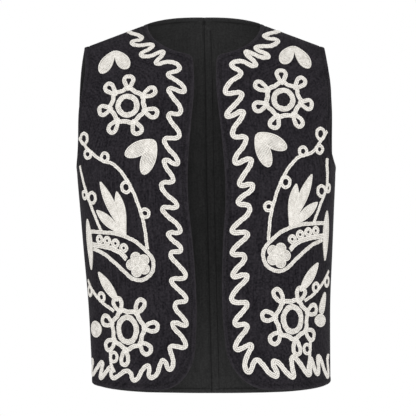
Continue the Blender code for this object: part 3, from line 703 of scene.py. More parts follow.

# %% [markdown]
# ## Seam allowances
#
# Inside a seam the spare cloth of the panels is pressed to one side. At the centre back it
# shows through the front opening as a second upright line, 13 mm from the seam, with painted
# shadow along its free edge and in the seam. Each allowance is a strip that starts a little
# before the seam, so that it also closes the seam.

# %% Strips inside the seams
OUTER_FACE = 0.0011
INNER_FACE = 0.0018
CUT_EDGE_SHARE = 0.7
ALLOWANCE_STEPS = np.array([0.0, 0.2, 2.4, 8.0, 11.0, 13.0]) * 0.001
TUCK_STEPS = np.array([3.0, 1.5]) * 0.001
# Painted shade on the strips, one value for each column from the tucked end out: in the seam and along
# the free edge, where shadows fall.
STRIP_SHADE = np.array([0.0, 0.1, 0.6, 0.6, 0.0, 0.0, 0.05, 0.4])
# The strips stop so many rows or columns short of the hem, neck, underarm and shoulder ends
HEM_SKIP, NECK_SKIP, UNDERARM_SKIP, SHOULDER_SKIP = 4, 1, 3, 8


def across_seam(grids, steps):
    """Places and normals this far from the seam, in a grid whose first column is the seam."""
    return np.array([
        read_at(steps, run_lengths(places), np.hstack([places, normals]))
        for places, normals in zip(*grids)
    ])


def allowance(name, wide_side, narrow_side, flip):
    """A strip on the inside, wide over one panel and tucked a little way over the other."""
    wide = across_seam(wide_side, ALLOWANCE_STEPS)
    narrow = across_seam(narrow_side, TUCK_STEPS)
    both = np.concatenate([narrow, wide], axis=1)
    places, normals = both[..., :3], both[..., 3:]
    outer = places - normals * OUTER_FACE
    inner = places - normals * INNER_FACE
    inner[:, -1] = outer[:, -1] * CUT_EDGE_SHARE + inner[:, -1] * (1 - CUT_EDGE_SHARE)
    width = np.concatenate([-TUCK_STEPS, ALLOWANCE_STEPS])
    run = run_lengths(places[:, len(TUCK_STEPS)])
    # The strips carry only painted shade.
    wear = np.tile(-STRIP_SHADE, (len(outer), 1))
    strip = shell(name, outer, inner, columns(width[None, :], run[:, None]), wear, flip)
    return strip


strips = []
centre_rows = slice(HEM_SKIP, neck_row - NECK_SKIP)
side_rows = slice(HEM_SKIP, underarm_row - UNDERARM_SKIP)
shoulder_columns = slice(SHOULDER_SKIP, -SHOULDER_SKIP)
grids = {name: (lines.points, lines.normals) for name, lines in LINES.items()}
centre = [[grid[centre_rows] for grid in grids[f"back_{hand}"]] for hand in ("left", "right")]
strips.append(allowance("centre_back_allowance", *centre, flip=True))
for hand in ("left", "right"):
    sides, tops = [], []
    for face in ("back", "front"):
        pair = grids[f"{face}_{hand}"]
        sides.append([grid[side_rows, ::-1] for grid in pair])
        tops.append([grid[::-1, shoulder_columns].transpose(1, 0, 2) for grid in pair])
    strips.append(allowance(f"side_allowance_{hand}", *sides, flip=(hand == "right")))
    strips.append(allowance(f"shoulder_allowance_{hand}", *tops, flip=(hand == "left")))

# %% [markdown]
# ## Places beside a line
#
# Topstitching runs beside an edge, and the rows of a thick stroke run beside its middle line.
# The step sideways is worked out in the cloth's own plane, so it stays true on the curves.

# %% Helpers for lines on the cloth
def on_cloth(face, hand, flat):
    """Places and normals of the cloth for points given as length out and height."""
    flat = np.asarray(flat, float)
    angle = angle_at(face, hand, flat[:, 0], flat[:, 1])
    return cloth_point(face, hand, angle, flat[:, 1]), cloth_normal(face, hand, angle, flat[:, 1])


def left_side(places, normals, closed=False):
    """The way to the left of a line, as seen from outside the cloth."""
    return unit(np.cross(normals, ways_along(places, closed)))


def moved_beside(face, hand, flat, distance):
    """The flat line moved this far to its left on the cloth."""
    step = 0.0005
    places, normals = on_cloth(face, hand, flat)
    along_out = (on_cloth(face, hand, flat + [step, 0.0])[0] - places) / step
    along_up = (on_cloth(face, hand, flat + [0.0, step])[0] - places) / step
    beside = left_side(places, normals)
    oo, ou, uu = [(a * b).sum(axis=1) for a, b in
                  ((along_out, along_out), (along_out, along_up), (along_up, along_up))]
    bo, bu = [(beside * a).sum(axis=1) * distance for a in (along_out, along_up)]
    area = oo * uu - ou**2
    return flat + columns((bo * uu - bu * ou) / area, (bu * oo - bo * ou) / area)


print("a place on the cloth:", on_cloth("front", "left", [(0.1, -0.3)])[0][0].round(3))

# %% [markdown]
# ## Topstitching
#
# One stitch is a short rounded piece of thread, pulled down at both ends. It is modelled once
# from a ball and copied along a line 7.8 mm inside every free edge.

# %% One stitch
STITCH_LENGTH = 0.0026
STITCH_PITCH = 0.0033
STITCH_THICKNESS = 0.00050
STITCH_INSET = 0.0078
STITCH_SINK = 0.00070
STITCH_LINE_POINTS = 240

bpy.ops.object.select_all(action="DESELECT")
bpy.ops.mesh.primitive_uv_sphere_add(segments=6, ring_count=4, radius=0.5)
stitch = bpy.context.object
bpy.ops.object.mode_set(mode="EDIT")
bpy.ops.transform.resize(value=(STITCH_LENGTH, STITCH_THICKNESS, STITCH_THICKNESS))
bpy.ops.object.mode_set(mode="OBJECT")
stitch_corners = np.array([corner.co[:] for corner in stitch.data.vertices])
ends = np.abs(stitch_corners[:, 0]) / (STITCH_LENGTH / 2)
stitch_corners[:, 2] -= STITCH_THICKNESS * 0.5 * ends**2
stitch_faces = [tuple(face.vertices) for face in stitch.data.polygons]
bpy.data.objects.remove(stitch)
print("one stitch has", len(stitch_faces), "faces")


# %% Stitches along the edges
def stitched(name, runs):
    """One object of all stitches along these runs of places and normals."""
    corners = []
    for places, normals in runs:
        lengths = run_lengths(places)
        count = int(lengths[-1] / STITCH_PITCH)
        wanted = (np.arange(count) + 0.5) * lengths[-1] / count
        places, normals = [read_at(wanted, lengths, part) for part in (places, normals)]
        axes = np.stack([ways_along(places), left_side(places, normals), normals], axis=1)
        corners.append((places - normals * STITCH_SINK)[:, None] + stitch_corners @ axes)
    corners = np.vstack(corners)
    firsts = np.arange(len(corners)) * len(stitch_corners)
    faces = [[first + corner for corner in face] for first in firsts.tolist() for face in stitch_faces]
    made = new_object(name, corners.reshape(-1, 3), faces)
    return made


topstitching = {}
for face, hand in PANELS:
    flat = LINES[f"{face}_{hand}"].flat
    armhole = flat[underarm_row + 2 : -2, -1]
    if face == "front":
        edges = [np.vstack([flat[0, -3:0:-3], flat[::2, 0]])]
    else:
        edges = [flat[0, -3:3:-3], flat[neck_row + 1 :, 0]]
    runs = []
    for line, side in [(edge, -1) for edge in edges] + [(armhole, 1)]:
        inset = side * outward_sign(face, hand) * STITCH_INSET
        smooth = along(line, np.linspace(0.0, 1.0, STITCH_LINE_POINTS))
        runs.append(on_cloth(face, hand, moved_beside(face, hand, smooth, inset)))
    topstitching[f"{face}_{hand}"] = stitched(f"topstitching_{face}_{hand}", runs)
print("topstitching on", len(topstitching), "panels")

# %% [markdown]
# ## Rows of chain stitch
#
# Each ivory stroke is several rows of chain stitch side by side. A row is a low band of thread
# with a slight groove along its middle, where the two strands of a link meet, and it narrows
# at each link. A stroke swells and drifts a little on its way, as handwork does. Filled shapes
# are rows worked round and round, from the outline inwards.

# %% A row of thread
ROW_PITCH = 0.0024
ROW_RISE = 0.0013
LINK_LENGTH = 0.0032
ROW_STEP = 0.0011
ROW_OVERLAP = 1.18
ROW_SHIFT = 12.9
LINK_NARROWING = 0.10
LINK_SINKING = 0.20
END_WIDTH = 0.5
END_HEIGHT = 0.35
LEAST_ROW_STEPS = 5
CORD_STEP = 0.0012
LEAST_CORD_STEPS = 8
CORD_SWELLING = 0.045
CORD_SWELLING_START = 900.0
CORD_DRIFT = 0.00020
CORD_DRIFT_START = 700.0
CORD_WAVES = (0.0079, 0.0211)
ROW_SECTION = table(
    "side, rise", (-1.0, -0.25), (-0.58, 0.92), (0.0, 0.76), (0.58, 0.92), (1.0, -0.25)
)


def by_hand(flat, closed):
    """The same line in even steps, with a small drift to its sides, and its swelling."""
    if closed:
        flat = np.vstack([flat, flat[:1]])
    length = run_lengths(flat)[-1]
    shares = np.linspace(0.0, 1.0, max(LEAST_CORD_STEPS, round(length / CORD_STEP)) + 1)
    line = along(flat, shares)
    if closed:
        line, shares = line[:-1], shares[:-1]
    turns = [2 * math.pi * shares * round(length / wave) for wave in CORD_WAVES]
    swelling = sum(np.sin(turn + CORD_SWELLING_START * length) for turn in turns)
    drift = sum(np.sin(1.0 + turn + CORD_DRIFT_START * length) for turn in turns)
    line = line + turned_left(ways_along(line, closed)) * CORD_DRIFT * drift[:, None]
    return line, 1 + CORD_SWELLING * swelling


class Thread:
    """Collects the corners and faces of many rows for one object."""

    def __init__(self):
        self.corners = []
        self.faces = []
        self.uv = []
        self.count = 0
        self.rows = 0

    def row(self, places, normals, half, lift, closed):
        """One row of links along a line; half is how far it reaches to each side."""
        line = np.hstack([places, normals])
        if closed:
            line = np.vstack([line, line[:1]])
        lengths = run_lengths(line[:, :3])
        steps = max(LEAST_ROW_STEPS, round(lengths[-1] / ROW_STEP))
        wanted = np.linspace(0.0, lengths[-1], steps + 1)
        line = read_at(wanted, lengths, line)
        links = max(1, round(lengths[-1] / LINK_LENGTH))
        phase = wanted / lengths[-1] * links + math.sin(ROW_SHIFT * self.rows)
        if closed:
            line, phase = line[:-1], phase[:-1]
        places, normals = line[:, :3], line[:, 3:]
        beside = left_side(places, normals, closed)
        swell = np.abs(np.sin(math.pi * phase))
        wide = half * (1 - LINK_NARROWING + LINK_NARROWING * swell)
        high = ROW_RISE * (1 - LINK_SINKING + LINK_SINKING * swell)
        if not closed:
            wide[[0, -1]] *= END_WIDTH
            high[[0, -1]] *= END_HEIGHT
        sideways = (ROW_SECTION.side * wide[:, None])[..., None]
        upwards = (lift + ROW_SECTION.rise * high[:, None])[..., None]
        ring = places[:, None] + beside[:, None] * sideways + normals[:, None] * upwards
        rows, sides = ring.shape[:2]
        index = self.count + np.arange(rows * sides).reshape(rows, sides)
        after = np.roll(index, -1, axis=0) if closed else index[1:]
        start = index if closed else index[:-1]
        quads = columns(start, after, np.roll(after, -1, axis=1), np.roll(start, -1, axis=1))
        self.faces += quads.reshape(-1, 4)[:, ::-1].tolist()
        if not closed:
            self.faces += [index[0, ::-1].tolist(), index[-1].tolist()]
        self.corners.append(ring.reshape(-1, 3))
        uv = columns(phase[:, None], np.linspace(0.0, 1.0, sides)[None])
        self.uv.append(uv.reshape(-1, 2))
        self.count += rows * sides
        self.rows += 1

    def stroke(self, hand, flat, width, closed=False, lift=0.0):
        """A thick line of several rows on one front, given by its middle line."""
        flat, swelling = by_hand(flat, closed)
        places, normals = on_cloth("front", hand, flat)
        beside = left_side(places, normals, closed)
        rows = max(1, round(width / ROW_PITCH))
        pitch = width / rows
        for number in range(rows):
            offset = ((number - (rows - 1) / 2) * pitch * swelling)[:, None]
            self.row(places + beside * offset, normals, pitch / 2 * ROW_OVERLAP, lift, closed)

    def made(self, name):
        """All the rows so far as one object."""
        made = new_object(name, np.vstack(self.corners), self.faces, np.vstack(self.uv))
        return made


print("rows are", 1000 * ROW_PITCH, "mm apart")

# %% [markdown]
# ## The motifs
#
# The ornament is common folk work: a wavy border, hearts, rosettes with loops, a paisley, a
# flower, leaves and curled tendrils. Each is a formula with a few sizes. The right front
# repeats the left one a little longer and lower, as a hand does when it works by eye.

# %% Flat shapes
OUTLINE_LIFT = 0.0005
FILL_OVERLAP = 1.06
CORD_WIDTH = 0.0072
BORDER_WIDTHS = {"left": 0.0080, "right": 0.0072}
RING_WIDTH = 0.0086
LOOP_WIDTH = 0.0068
TENDRIL_WIDTH = 0.0054
RIGHT_FRONT_STRETCH = 1.02
RIGHT_FRONT_DROP = 0.007
ROSETTE_LOOPS = 7
ROSETTE_FRAME_RADIUS = 0.0275
ROSETTE_FRAME_WAVE = 0.06
ROSETTE_LOOP_REACH = 0.0502
ROSETTE_LOOP_HALF_WIDTH = 0.0068
ROSETTE_RING_RADIUS = 0.0155
TENDRIL_LOOP_RADIUS = 0.0071
VINE_START = {"left": 0.191, "right": 0.199}
PAISLEY_STROKE = 0.0062
PAISLEY_HALF_WIDTHS = (0.0245, 0.0245, 0.0215, 0.0165, 0.0135)
PAISLEY_BAND = 0.0080
SCALLOP_RADIUS = 0.0050
SCALLOP_STROKE = 0.0056
UPPER_LIFT = 0.0002
PETAL_LIFT = 0.0001
LEAF_STEPS = 25
RING_SIDES = 40
TEARDROP_SIDES = 32
STEM_STEPS = 10
PAISLEY_STEPS = 12
PAISLEY_CAP_SIDES = 15
PETAL_REACH = 0.0205
PETAL_COUNT = 5
TENDRIL_LOOP_WINDOW = 0.02
TENDRIL_LOOP_UNEVEN = 0.14
TENDRIL_LOOP_OVAL = 0.12
ROSETTE_UNEVEN_TURN = 0.05
ROSETTE_UNEVEN_REACH = 0.07
ROSETTE_UNEVEN_WIDTH = 0.10
ROSETTE_FRAME_SIDES = 140


def ring_path(centre, radius, sides=RING_SIDES, turn=0.0, tall=1.0):
    """A ring, or with one radius for each side a wavy one."""
    angles = turn + np.arange(sides) * 2 * math.pi / sides
    up = centre[1] + tall * radius * np.sin(angles)
    return columns(centre[0] + radius * np.cos(angles), up)


def leaf_rows(base, tip, width, belly=0.5, point=0.5):
    """Closed lines from the outline of a leaf inwards, about one thread row apart."""
    length = np.linalg.norm(tip - base)
    way = (tip - base) / length
    side = turned_left(way)
    shares = (1 - np.cos(np.linspace(0.0, math.pi, LEAF_STEPS))) / 2
    shape = np.sin(math.pi * shares ** (math.log(0.5) / math.log(belly))) ** point
    rows = math.ceil(min(width, length) / 2 / ROW_PITCH)
    pitch = min(width, length) / 2 / rows
    lines = []
    for inset in (np.arange(rows) + 0.5) * pitch:
        middle = base + way * inset + way * (length - 2 * inset) * shares[:, None]
        half = (width / 2 - inset) * shape[:, None]
        lines.append(np.vstack([middle - side * half, (middle + side * half)[-2:0:-1]]))
    return lines


def teardrop(base, way, reach, half_width, tall):
    """A loop that leaves base, goes round at its far end and comes back across itself."""
    turns = np.linspace(0.0, math.pi, TEARDROP_SIDES + 1)[:-1, None]
    path = reach * np.sin(turns) * way + half_width * np.sin(2 * turns) * turned_left(way)
    return base + path * np.array([1.0, tall])


def paisley_outline(spine, half_widths):
    """The line round a drop with a round end and an open tail, about a curved spine."""
    middle = spline(spine, PAISLEY_STEPS)
    way = ways_along(middle)
    side = turned_left(way)
    share = run_lengths(middle) / run_lengths(middle)[-1]
    half = smooth_curve(np.linspace(0.0, 1.0, len(half_widths)), half_widths)(share)[:, None]
    turns = np.linspace(math.pi, 0.0, PAISLEY_CAP_SIDES + 1)[1:-1]
    turns = math.atan2(side[0][1], side[0][0]) + turns
    cap = middle[0] + half[0] * columns(np.cos(turns), np.sin(turns))
    across = (cap - middle[0]) @ way[0]
    cap = cap - np.outer(across * 2, way[0]) * (across[:, None] > 0)
    return np.vstack([(middle - side * half)[::-1], cap, middle + side * half])


def on_front(hand, points):
    """Places seen from the front, as x and height, turned into lengths out and heights."""
    x, height = np.array(points, float).T
    return columns(length_at("front", hand, angle_of_x("front", x, height), height), height)


def seen(hand, *points):
    """The same, longer and lower on the right front."""
    if hand == "right":
        points = [(x, z * RIGHT_FRONT_STRETCH - RIGHT_FRONT_DROP) for x, z in points]
    return on_front(hand, points)


print("a rosette is", round(2000 * ROSETTE_LOOP_REACH + 1000 * CORD_WIDTH), "mm across")

# %% [markdown]
# ## The wavy border
#
# The border swings from side to side of a middle line that follows the neck, the front edge
# and the hem. The swings differ a little in size, so that they look laid by hand.

# %% Border line
Wave = namedtuple("Wave", "length inset reach")
BORDER_WAVES = {
    "neck": Wave(length=0.025, inset=0.023, reach=0.0100),
    "edge": Wave(length=0.0365, inset=0.0265, reach=0.0100),
    "hem": Wave(length=0.031, inset=0.034, reach=0.0120),
    "side": Wave(length=0.0150, inset=0.034, reach=0.0125),
}
BORDER_NECK_LENGTH = 0.085
BORDER_NECK_BLEND = 0.04
BORDER_HEM_LENGTH = 0.156
BORDER_SIDE_LENGTH = 0.040
BORDER_TOP_ANGLE = 82.0
BORDER_NECK_CORNER_ANGLE = 30.0
BORDER_EDGE_TOP = -0.094
BORDER_EDGE_BOTTOM = -0.500
BORDER_END_X = 0.192
BORDER_BULGE = 0.006
BORDER_BULGE_HEIGHT = -0.262
BORDER_BULGE_WIDTH = 0.034
BORDER_DIPS = {"left": 0.0, "right": 0.011}
BORDER_DIP_WIDTH = 0.045
BORDER_DIP_QUIET = 0.45
WAIST_ROSETTE_OUT = 0.133
BORDER_STEPS = 8
BORDER_NECK_POINTS = 5
BORDER_EDGE_POINTS = 11
BORDER_HEM_POINTS = 7
BORDER_SPINE_STEPS = 6
BORDER_CORNER_HEIGHT = -0.522
BORDER_CORNER_RISE = 0.006
BORDER_CORNER_OUT = (0.006, 0.018, 0.037)
BORDER_FIRST_PHASE = 0.6 * math.pi
BORDER_LEAN = 0.58
BORDER_LEAN_AT_SIDE = 0.35
BORDER_POINT = 0.09
BORDER_FULLNESS = {"left": 1.08, "right": 1.0}
BORDER_HANDWRITING = {"left": 1.3, "right": 2.9}
BORDER_UNEVEN = table("amount, rate, shift", (0.17, 0.37, 1.0), (0.13, 0.83, 2.0))
BORDER_HURRY = table("amount, rate, shift", (0.45, 0.31, 1.0), (0.30, 0.57, 3.0))
BORDER_ROUNDING = 0.0016
BORDER_TURN_WINDOW = 0.008
BORDER_SMOOTHING = 6


def border_dip(hand, out):
    return BORDER_DIPS[hand] * np.exp(-(((out - WAIST_ROSETTE_OUT) / BORDER_DIP_WIDTH) ** 2))


def border_spine(hand):
    """The middle line of the border, from the shoulder round the neck and down to the hem."""
    neck = BORDER_WAVES["neck"].inset
    hem_line = FRONT_HEM + BORDER_WAVES["hem"].inset
    ring = np.linspace(BORDER_TOP_ANGLE, BORDER_NECK_CORNER_ANGLE, BORDER_NECK_POINTS)
    ring = np.radians(ring)
    neck_out = (NECK_HALF_WIDTH + neck) * np.sin(ring)
    neck_run = columns(neck_out, -(FRONT_NECK_DROP + neck) * np.cos(ring))
    heights = np.linspace(BORDER_EDGE_TOP, BORDER_EDGE_BOTTOM, BORDER_EDGE_POINTS)
    bulge = BORDER_BULGE * np.exp(-(((heights - BORDER_BULGE_HEIGHT) / BORDER_BULGE_WIDTH) ** 2))
    edge_run = columns(front_gap_at(heights) + BORDER_WAVES["edge"].inset + bulge, heights)
    upper, lower, hem_start = edge_run[-1][0] + np.array(BORDER_CORNER_OUT)
    corner_run = [(upper, BORDER_CORNER_HEIGHT), (lower, hem_line + BORDER_CORNER_RISE)]
    hem_out = np.linspace(hem_start, BORDER_END_X, BORDER_HEM_POINTS)
    hem_run = columns(hem_out, hem_line - border_dip(hand, hem_out))
    return spline(np.vstack([neck_run, edge_run, corner_run, hem_run]), BORDER_SPINE_STEPS)


def by_eye(waves, phases, own):
    """A slow unevenness: the sum of a few waves along the border, shifted for each front."""
    return sum(wave.amount * np.sin(phases * wave.rate + wave.shift * own) for wave in waves)


def border_wave(hand):
    """The border's line; its outer turns lean back up the edge."""
    spine = border_spine(hand)
    length = run_lengths(spine)[-1]
    hem_start = length - BORDER_HEM_LENGTH
    side_start = length - BORDER_SIDE_LENGTH
    runs = (("neck", 0.0), ("edge", BORDER_NECK_LENGTH), ("hem", hem_start), ("side", side_start))
    coarse = [0.0]
    while coarse[-1] < length - BORDER_WAVES["side"].length / BORDER_STEPS:
        run = [name for name, start in runs if coarse[-1] >= start][-1]
        coarse.append(coarse[-1] + BORDER_WAVES[run].length / BORDER_STEPS)
    index = np.linspace(0.0, len(coarse) - 1, (len(coarse) - 1) * BORDER_SMOOTHING + 1)
    places = smooth_curve(np.arange(len(coarse)), coarse)(index)
    phases = BORDER_FIRST_PHASE + index * 2 * math.pi / BORDER_STEPS
    edge_from = BORDER_NECK_LENGTH + BORDER_NECK_BLEND
    reach_places = [0.0, BORDER_NECK_LENGTH, edge_from, hem_start, side_start, length]
    reach_names = ("neck", "neck", "edge", "edge", "hem", "side")
    reach_values = [BORDER_WAVES[name].reach for name in reach_names]
    on_spine = along(spine, places / length)
    on_hem = on_spine[:, 1] < BORDER_EDGE_BOTTOM
    quiet = BORDER_DIP_QUIET * border_dip(hand, on_spine[:, 0]) * on_hem
    reach = smooth_curve(reach_places, reach_values)(places) - quiet
    own = BORDER_HANDWRITING[hand]
    reach = reach * BORDER_FULLNESS[hand] * (1 + by_eye(BORDER_UNEVEN, phases, own))
    calm = np.clip((side_start - places) / BORDER_SIDE_LENGTH, 0.0, 1.0)
    phases = phases + by_eye(BORDER_HURRY, phases, own) * calm
    lateral = reach * (np.sin(phases) - BORDER_POINT * np.sin(3 * phases))
    shrink = BORDER_LEAN_AT_SIDE + (1 - BORDER_LEAN_AT_SIDE) * calm
    forward = places - shrink * (BORDER_LEAN * lateral + BORDER_ROUNDING * np.sin(2 * phases))
    shares = np.clip(forward / length, 0.0, 1.0)
    ahead = along(spine, np.minimum(shares + BORDER_TURN_WINDOW, 1.0))
    behind = along(spine, np.maximum(shares - BORDER_TURN_WINDOW, 0.0))
    return along(spine, shares) + turned_left(unit(ahead - behind)) * lateral[:, None]


print("border line:", round(float(run_lengths(border_wave("left"))[-1]), 2), "m a side")

# %% [markdown]
# ## Working the motifs in thread
#
# Strokes become rows beside their middle line and filled shapes become rows inside their
# outline. Each motif is an object of its own that stands for the solid of the same name.

# %% Thread for every motif
def filled(thread, hand, lines, lift=0.0):
    """Rows along these closed lines; the outermost stands proud of the one beside it."""
    for line, proud in zip(lines, (OUTLINE_LIFT, -OUTLINE_LIFT / 2, *[0.0] * len(lines))):
        places, normals = on_cloth("front", hand, line)
        thread.row(places, normals, ROW_PITCH / 2 * FILL_OVERLAP, lift + proud, closed=True)


def looped_stem(thread, hand, points, loops):
    """A tendril with loops of uneven size; each is a share of its length and a side, 1 for left."""
    stem = spline(points, STEM_STEPS)
    thread.stroke(hand, stem, TENDRIL_WIDTH)
    for share, side in loops:
        places = share + TENDRIL_LOOP_WINDOW * np.array([-1.0, 0.0, 1.0])
        before, here, after = along(stem, places)
        radius = TENDRIL_LOOP_RADIUS * (1 + TENDRIL_LOOP_UNEVEN * math.sin(40 * share))
        centre = here + turned_left(unit(after - before)) * side * radius
        tall = 1 + TENDRIL_LOOP_OVAL * math.sin(25 * share)
        ring = ring_path(centre, radius, sides=24, tall=tall)
        thread.stroke(hand, ring, TENDRIL_WIDTH, closed=True, lift=UPPER_LIFT)


def rosette_loops(thread, hand, centre, tall, lean):
    """A wavy frame and the loops that stand on it, each a little uneven."""
    angles = np.arange(ROSETTE_FRAME_SIDES) * 2 * math.pi / ROSETTE_FRAME_SIDES
    wave = ROSETTE_FRAME_WAVE * np.cos(ROSETTE_LOOPS * (angles - lean))
    frame_line = ring_path(centre, ROSETTE_FRAME_RADIUS * (1 + wave), ROSETTE_FRAME_SIDES, tall=tall)
    thread.stroke(hand, frame_line, CORD_WIDTH, closed=True)
    for number in range(ROSETTE_LOOPS):
        uneven = math.sin(2.3 * number + 31 * lean + 17 * centre[1])
        turn = lean + number * 2 * math.pi / ROSETTE_LOOPS + ROSETTE_UNEVEN_TURN * uneven
        way = np.array([math.cos(turn), math.sin(turn)])
        base = centre + way * ROSETTE_FRAME_RADIUS * np.array([1.0, tall])
        reach = (ROSETTE_LOOP_REACH - ROSETTE_FRAME_RADIUS) * (1 + ROSETTE_UNEVEN_REACH * uneven)
        half_width = ROSETTE_LOOP_HALF_WIDTH * (1 - ROSETTE_UNEVEN_WIDTH * uneven)
        loop = teardrop(base, way, reach, half_width, tall)
        thread.stroke(hand, loop, LOOP_WIDTH, closed=True, lift=UPPER_LIFT)


def leaf(thread, hand, base, tip, width, belly=0.5, point=0.5, lift=0.0):
    filled(thread, hand, leaf_rows(base, tip, width, belly, point), lift)


def work_border(thread, hand):
    thread.stroke(hand, on_front(hand, border_wave(hand)), BORDER_WIDTHS[hand])
    top, bend = seen(hand, (0.157, -0.500), (0.156, -0.522))
    (end,) = on_front(hand, [(0.151, -0.552)])
    looped_stem(thread, hand, [top, bend, end], ((0.3, -1),))


def work_heart(thread, hand, places, width, belly):
    apex, inner, outer = seen(hand, *places)
    leaf(thread, hand, apex, inner, width, belly)
    leaf(thread, hand, apex, outer, width, belly, lift=UPPER_LIFT)


def work_ring(thread, hand, centre, tall):
    ring = ring_path(centre, ROSETTE_RING_RADIUS, tall=tall)
    thread.stroke(hand, ring, RING_WIDTH, closed=True)


def work_paisley(thread, hand):
    start_x = VINE_START[hand]
    upper = ((start_x, -0.173), (0.169, -0.206), (0.142, -0.217))
    lower = ((0.118, -0.249), (0.100, -0.300), (0.094, -0.345))
    loops = ((0.06, -1), (0.15, 1), (0.29, -1), (0.55, 1), (0.76, -1))
    looped_stem(thread, hand, seen(hand, *upper, *lower), loops)
    short = seen(hand, (start_x, -0.216), (0.188, -0.258), (0.177, -0.290), (0.166, -0.318))
    looped_stem(thread, hand, short, ((0.42, 1), (0.52, -1)))
    spine = seen(hand, (0.109, -0.368), (0.128, -0.351), (0.153, -0.338), (0.179, -0.331))
    outline = paisley_outline(spine, PAISLEY_HALF_WIDTHS)
    hook = seen(hand, (0.1835, -0.3185), (0.1865, -0.3215), (0.1880, -0.3260))
    if outline[0][1] > outline[-1][1]:
        outline = outline[::-1]
    thread.stroke(hand, np.vstack([outline, hook]), PAISLEY_STROKE)
    band = seen(hand, (0.127, -0.360), (0.137, -0.350), (0.156, -0.342), (0.182, -0.338))
    thread.stroke(hand, spline(band, STEM_STEPS), PAISLEY_BAND)
    for lobe in seen(hand, (0.131, -0.343), (0.144, -0.336), (0.157, -0.332), (0.169, -0.330)):
        ring = ring_path(lobe, SCALLOP_RADIUS, sides=20)
        thread.stroke(hand, ring, SCALLOP_STROKE, closed=True, lift=UPPER_LIFT)
    (base,) = seen(hand, (0.127, -0.325))
    for tip in seen(hand, (0.140, -0.256), (0.173, -0.285), (0.166, -0.241)):
        leaf(thread, hand, base, tip, width=0.0168, belly=0.60, point=0.85)


def work_flower(thread, hand):
    (centre,) = seen(hand, (0.109, -0.368))
    tips = ring_path(centre, PETAL_REACH, PETAL_COUNT, math.radians(70))
    for number, tip in enumerate(tips):
        lift = PETAL_LIFT * (number % 2)
        leaf(thread, hand, centre, tip, width=0.0176, belly=0.62, lift=lift)


def work_waist_loops(thread, hand, centre):
    rosette_loops(thread, hand, centre, tall=1.08, lean=math.radians(70))
    base, tip = seen(hand, (0.142, -0.425), (0.172, -0.380))
    leaf(thread, hand, base, tip, width=0.0170, point=0.75)
    curl = seen(hand, (0.190, -0.393), (0.179, -0.413), (0.166, -0.428), (0.149, -0.440))
    looped_stem(thread, hand, curl, ((0.22, 1), (0.60, -1)))


def work_hip_drop(thread, hand):
    if hand == "left":
        high, low, stem = seen(hand, (0.176, -0.461), (0.175, -0.482), (0.183, -0.427))
        leaf(thread, hand, high, stem, width=0.017, belly=0.30)
    else:
        high, low = seen(hand, (0.1785, -0.456), (0.1775, -0.482))
    leaf(thread, hand, low, high, width=0.032)


SHOULDER_HEART = ((0.1415, -0.038), (0.120, -0.0665), (0.1655, -0.0735))
BUST_HEART = ((0.079, -0.179), (0.098, -0.231), (0.126, -0.202))
embroidery = []
for hand in ("left", "right"):
    chest, waist = seen(hand, (0.122, -0.125), (0.129, -0.468))
    side_leaf = seen(hand, (0.188, -0.298), (0.183, -0.378))
    # A motif's name, the function that works it, then its places and sizes in that one's order
    works = (
        ("border_wave", work_border),
        ("shoulder_heart", work_heart, SHOULDER_HEART, 0.0220, 0.62),
        ("bust_heart", work_heart, BUST_HEART, 0.0235, 0.56),
        ("chest_rosette_ring", work_ring, chest, 0.96),
        ("chest_rosette_loops", rosette_loops, chest, 0.96, math.radians(95)),
        ("paisley", work_paisley),
        ("paisley_flower", work_flower),
        ("side_leaf", leaf, *side_leaf, 0.017, 0.45, 0.8),
        ("waist_rosette_ring", work_ring, waist, 1.25),
        ("waist_rosette_loops", work_waist_loops, waist),
        ("hip_drop", work_hip_drop),
    )
    for name, work, *sizes in works:
        thread = Thread()
        work(thread, hand, *sizes)
        piece = thread.made(f"{name}_{hand}_thread")
        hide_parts(f"{name}_{hand}")
        embroidery.append(piece)
print("motifs:", len(embroidery), "with", sum(len(piece.data.polygons) for piece in embroidery), "faces")

# %% [markdown]
# ## The finishes
#
# The cotton is a fine twill, washed until its black has turned slightly violet. Its value of
# wear and painted light makes the lips of the edges a little lighter, partly for rubbing and
# partly as a painted highlight, and paints shade into the seams and stitch lines. Its inside is
# a lighter grey, partly the plain back of the cloth and partly painted light for the shade
# inside the vest. The thread is matt ivory, with painted shade where the links meet and along
# the sides of each row. Both patterns follow each piece's own UV map, so they bend with the
# cloth.

# %% Materials
def node(tree, kind, **settings):
    made = tree.nodes.new(kind)
    for name, value in settings.items():
        setattr(made, name, value)
    return made


def fill(socket, value):
    """Link another node's output to the socket, or write a plain value into it."""
    if isinstance(value, bpy.types.NodeSocket):
        value.id_data.links.new(value, socket)
    else:
        socket.default_value = value


def maths(tree, operation, *values):
    made = node(tree, "ShaderNodeMath", operation=operation)
    for socket, value in zip(made.inputs, values):
        fill(socket, value)
    return made.outputs[0]


def scaled(pattern, factor, added=0.0):
    """The pattern times a factor, and something added to it."""
    return maths(pattern.id_data, "MULTIPLY_ADD", pattern, factor, added)


def noise(tree, scale, detail=2.0, place=None):
    """Soft random spots over the piece, so many to a metre."""
    if place is None:
        place = node(tree, "ShaderNodeTexCoord").outputs["Object"]
    made = node(tree, "ShaderNodeTexNoise")
    for name, value in (("Scale", scale), ("Detail", detail), ("Vector", place)):
        fill(made.inputs[name], value)
    return made.outputs["Fac"]


def mixed(share, first, second):
    """Two colours mixed by a pattern."""
    made = node(share.id_data, "ShaderNodeMix", data_type="RGBA")
    fill(made.inputs["Factor"], share)
    fill(made.inputs[6], first)
    fill(made.inputs[7], second)
    return made.outputs[2]


def new_material(name, roughness, specular):
    made = bpy.data.materials.new(name)
    made.use_nodes = True
    shader = made.node_tree.nodes["Principled BSDF"]
    fill(shader.inputs["Roughness"], roughness)
    fill(shader.inputs["Specular IOR Level"], specular)
    return made, made.node_tree, shader.inputs


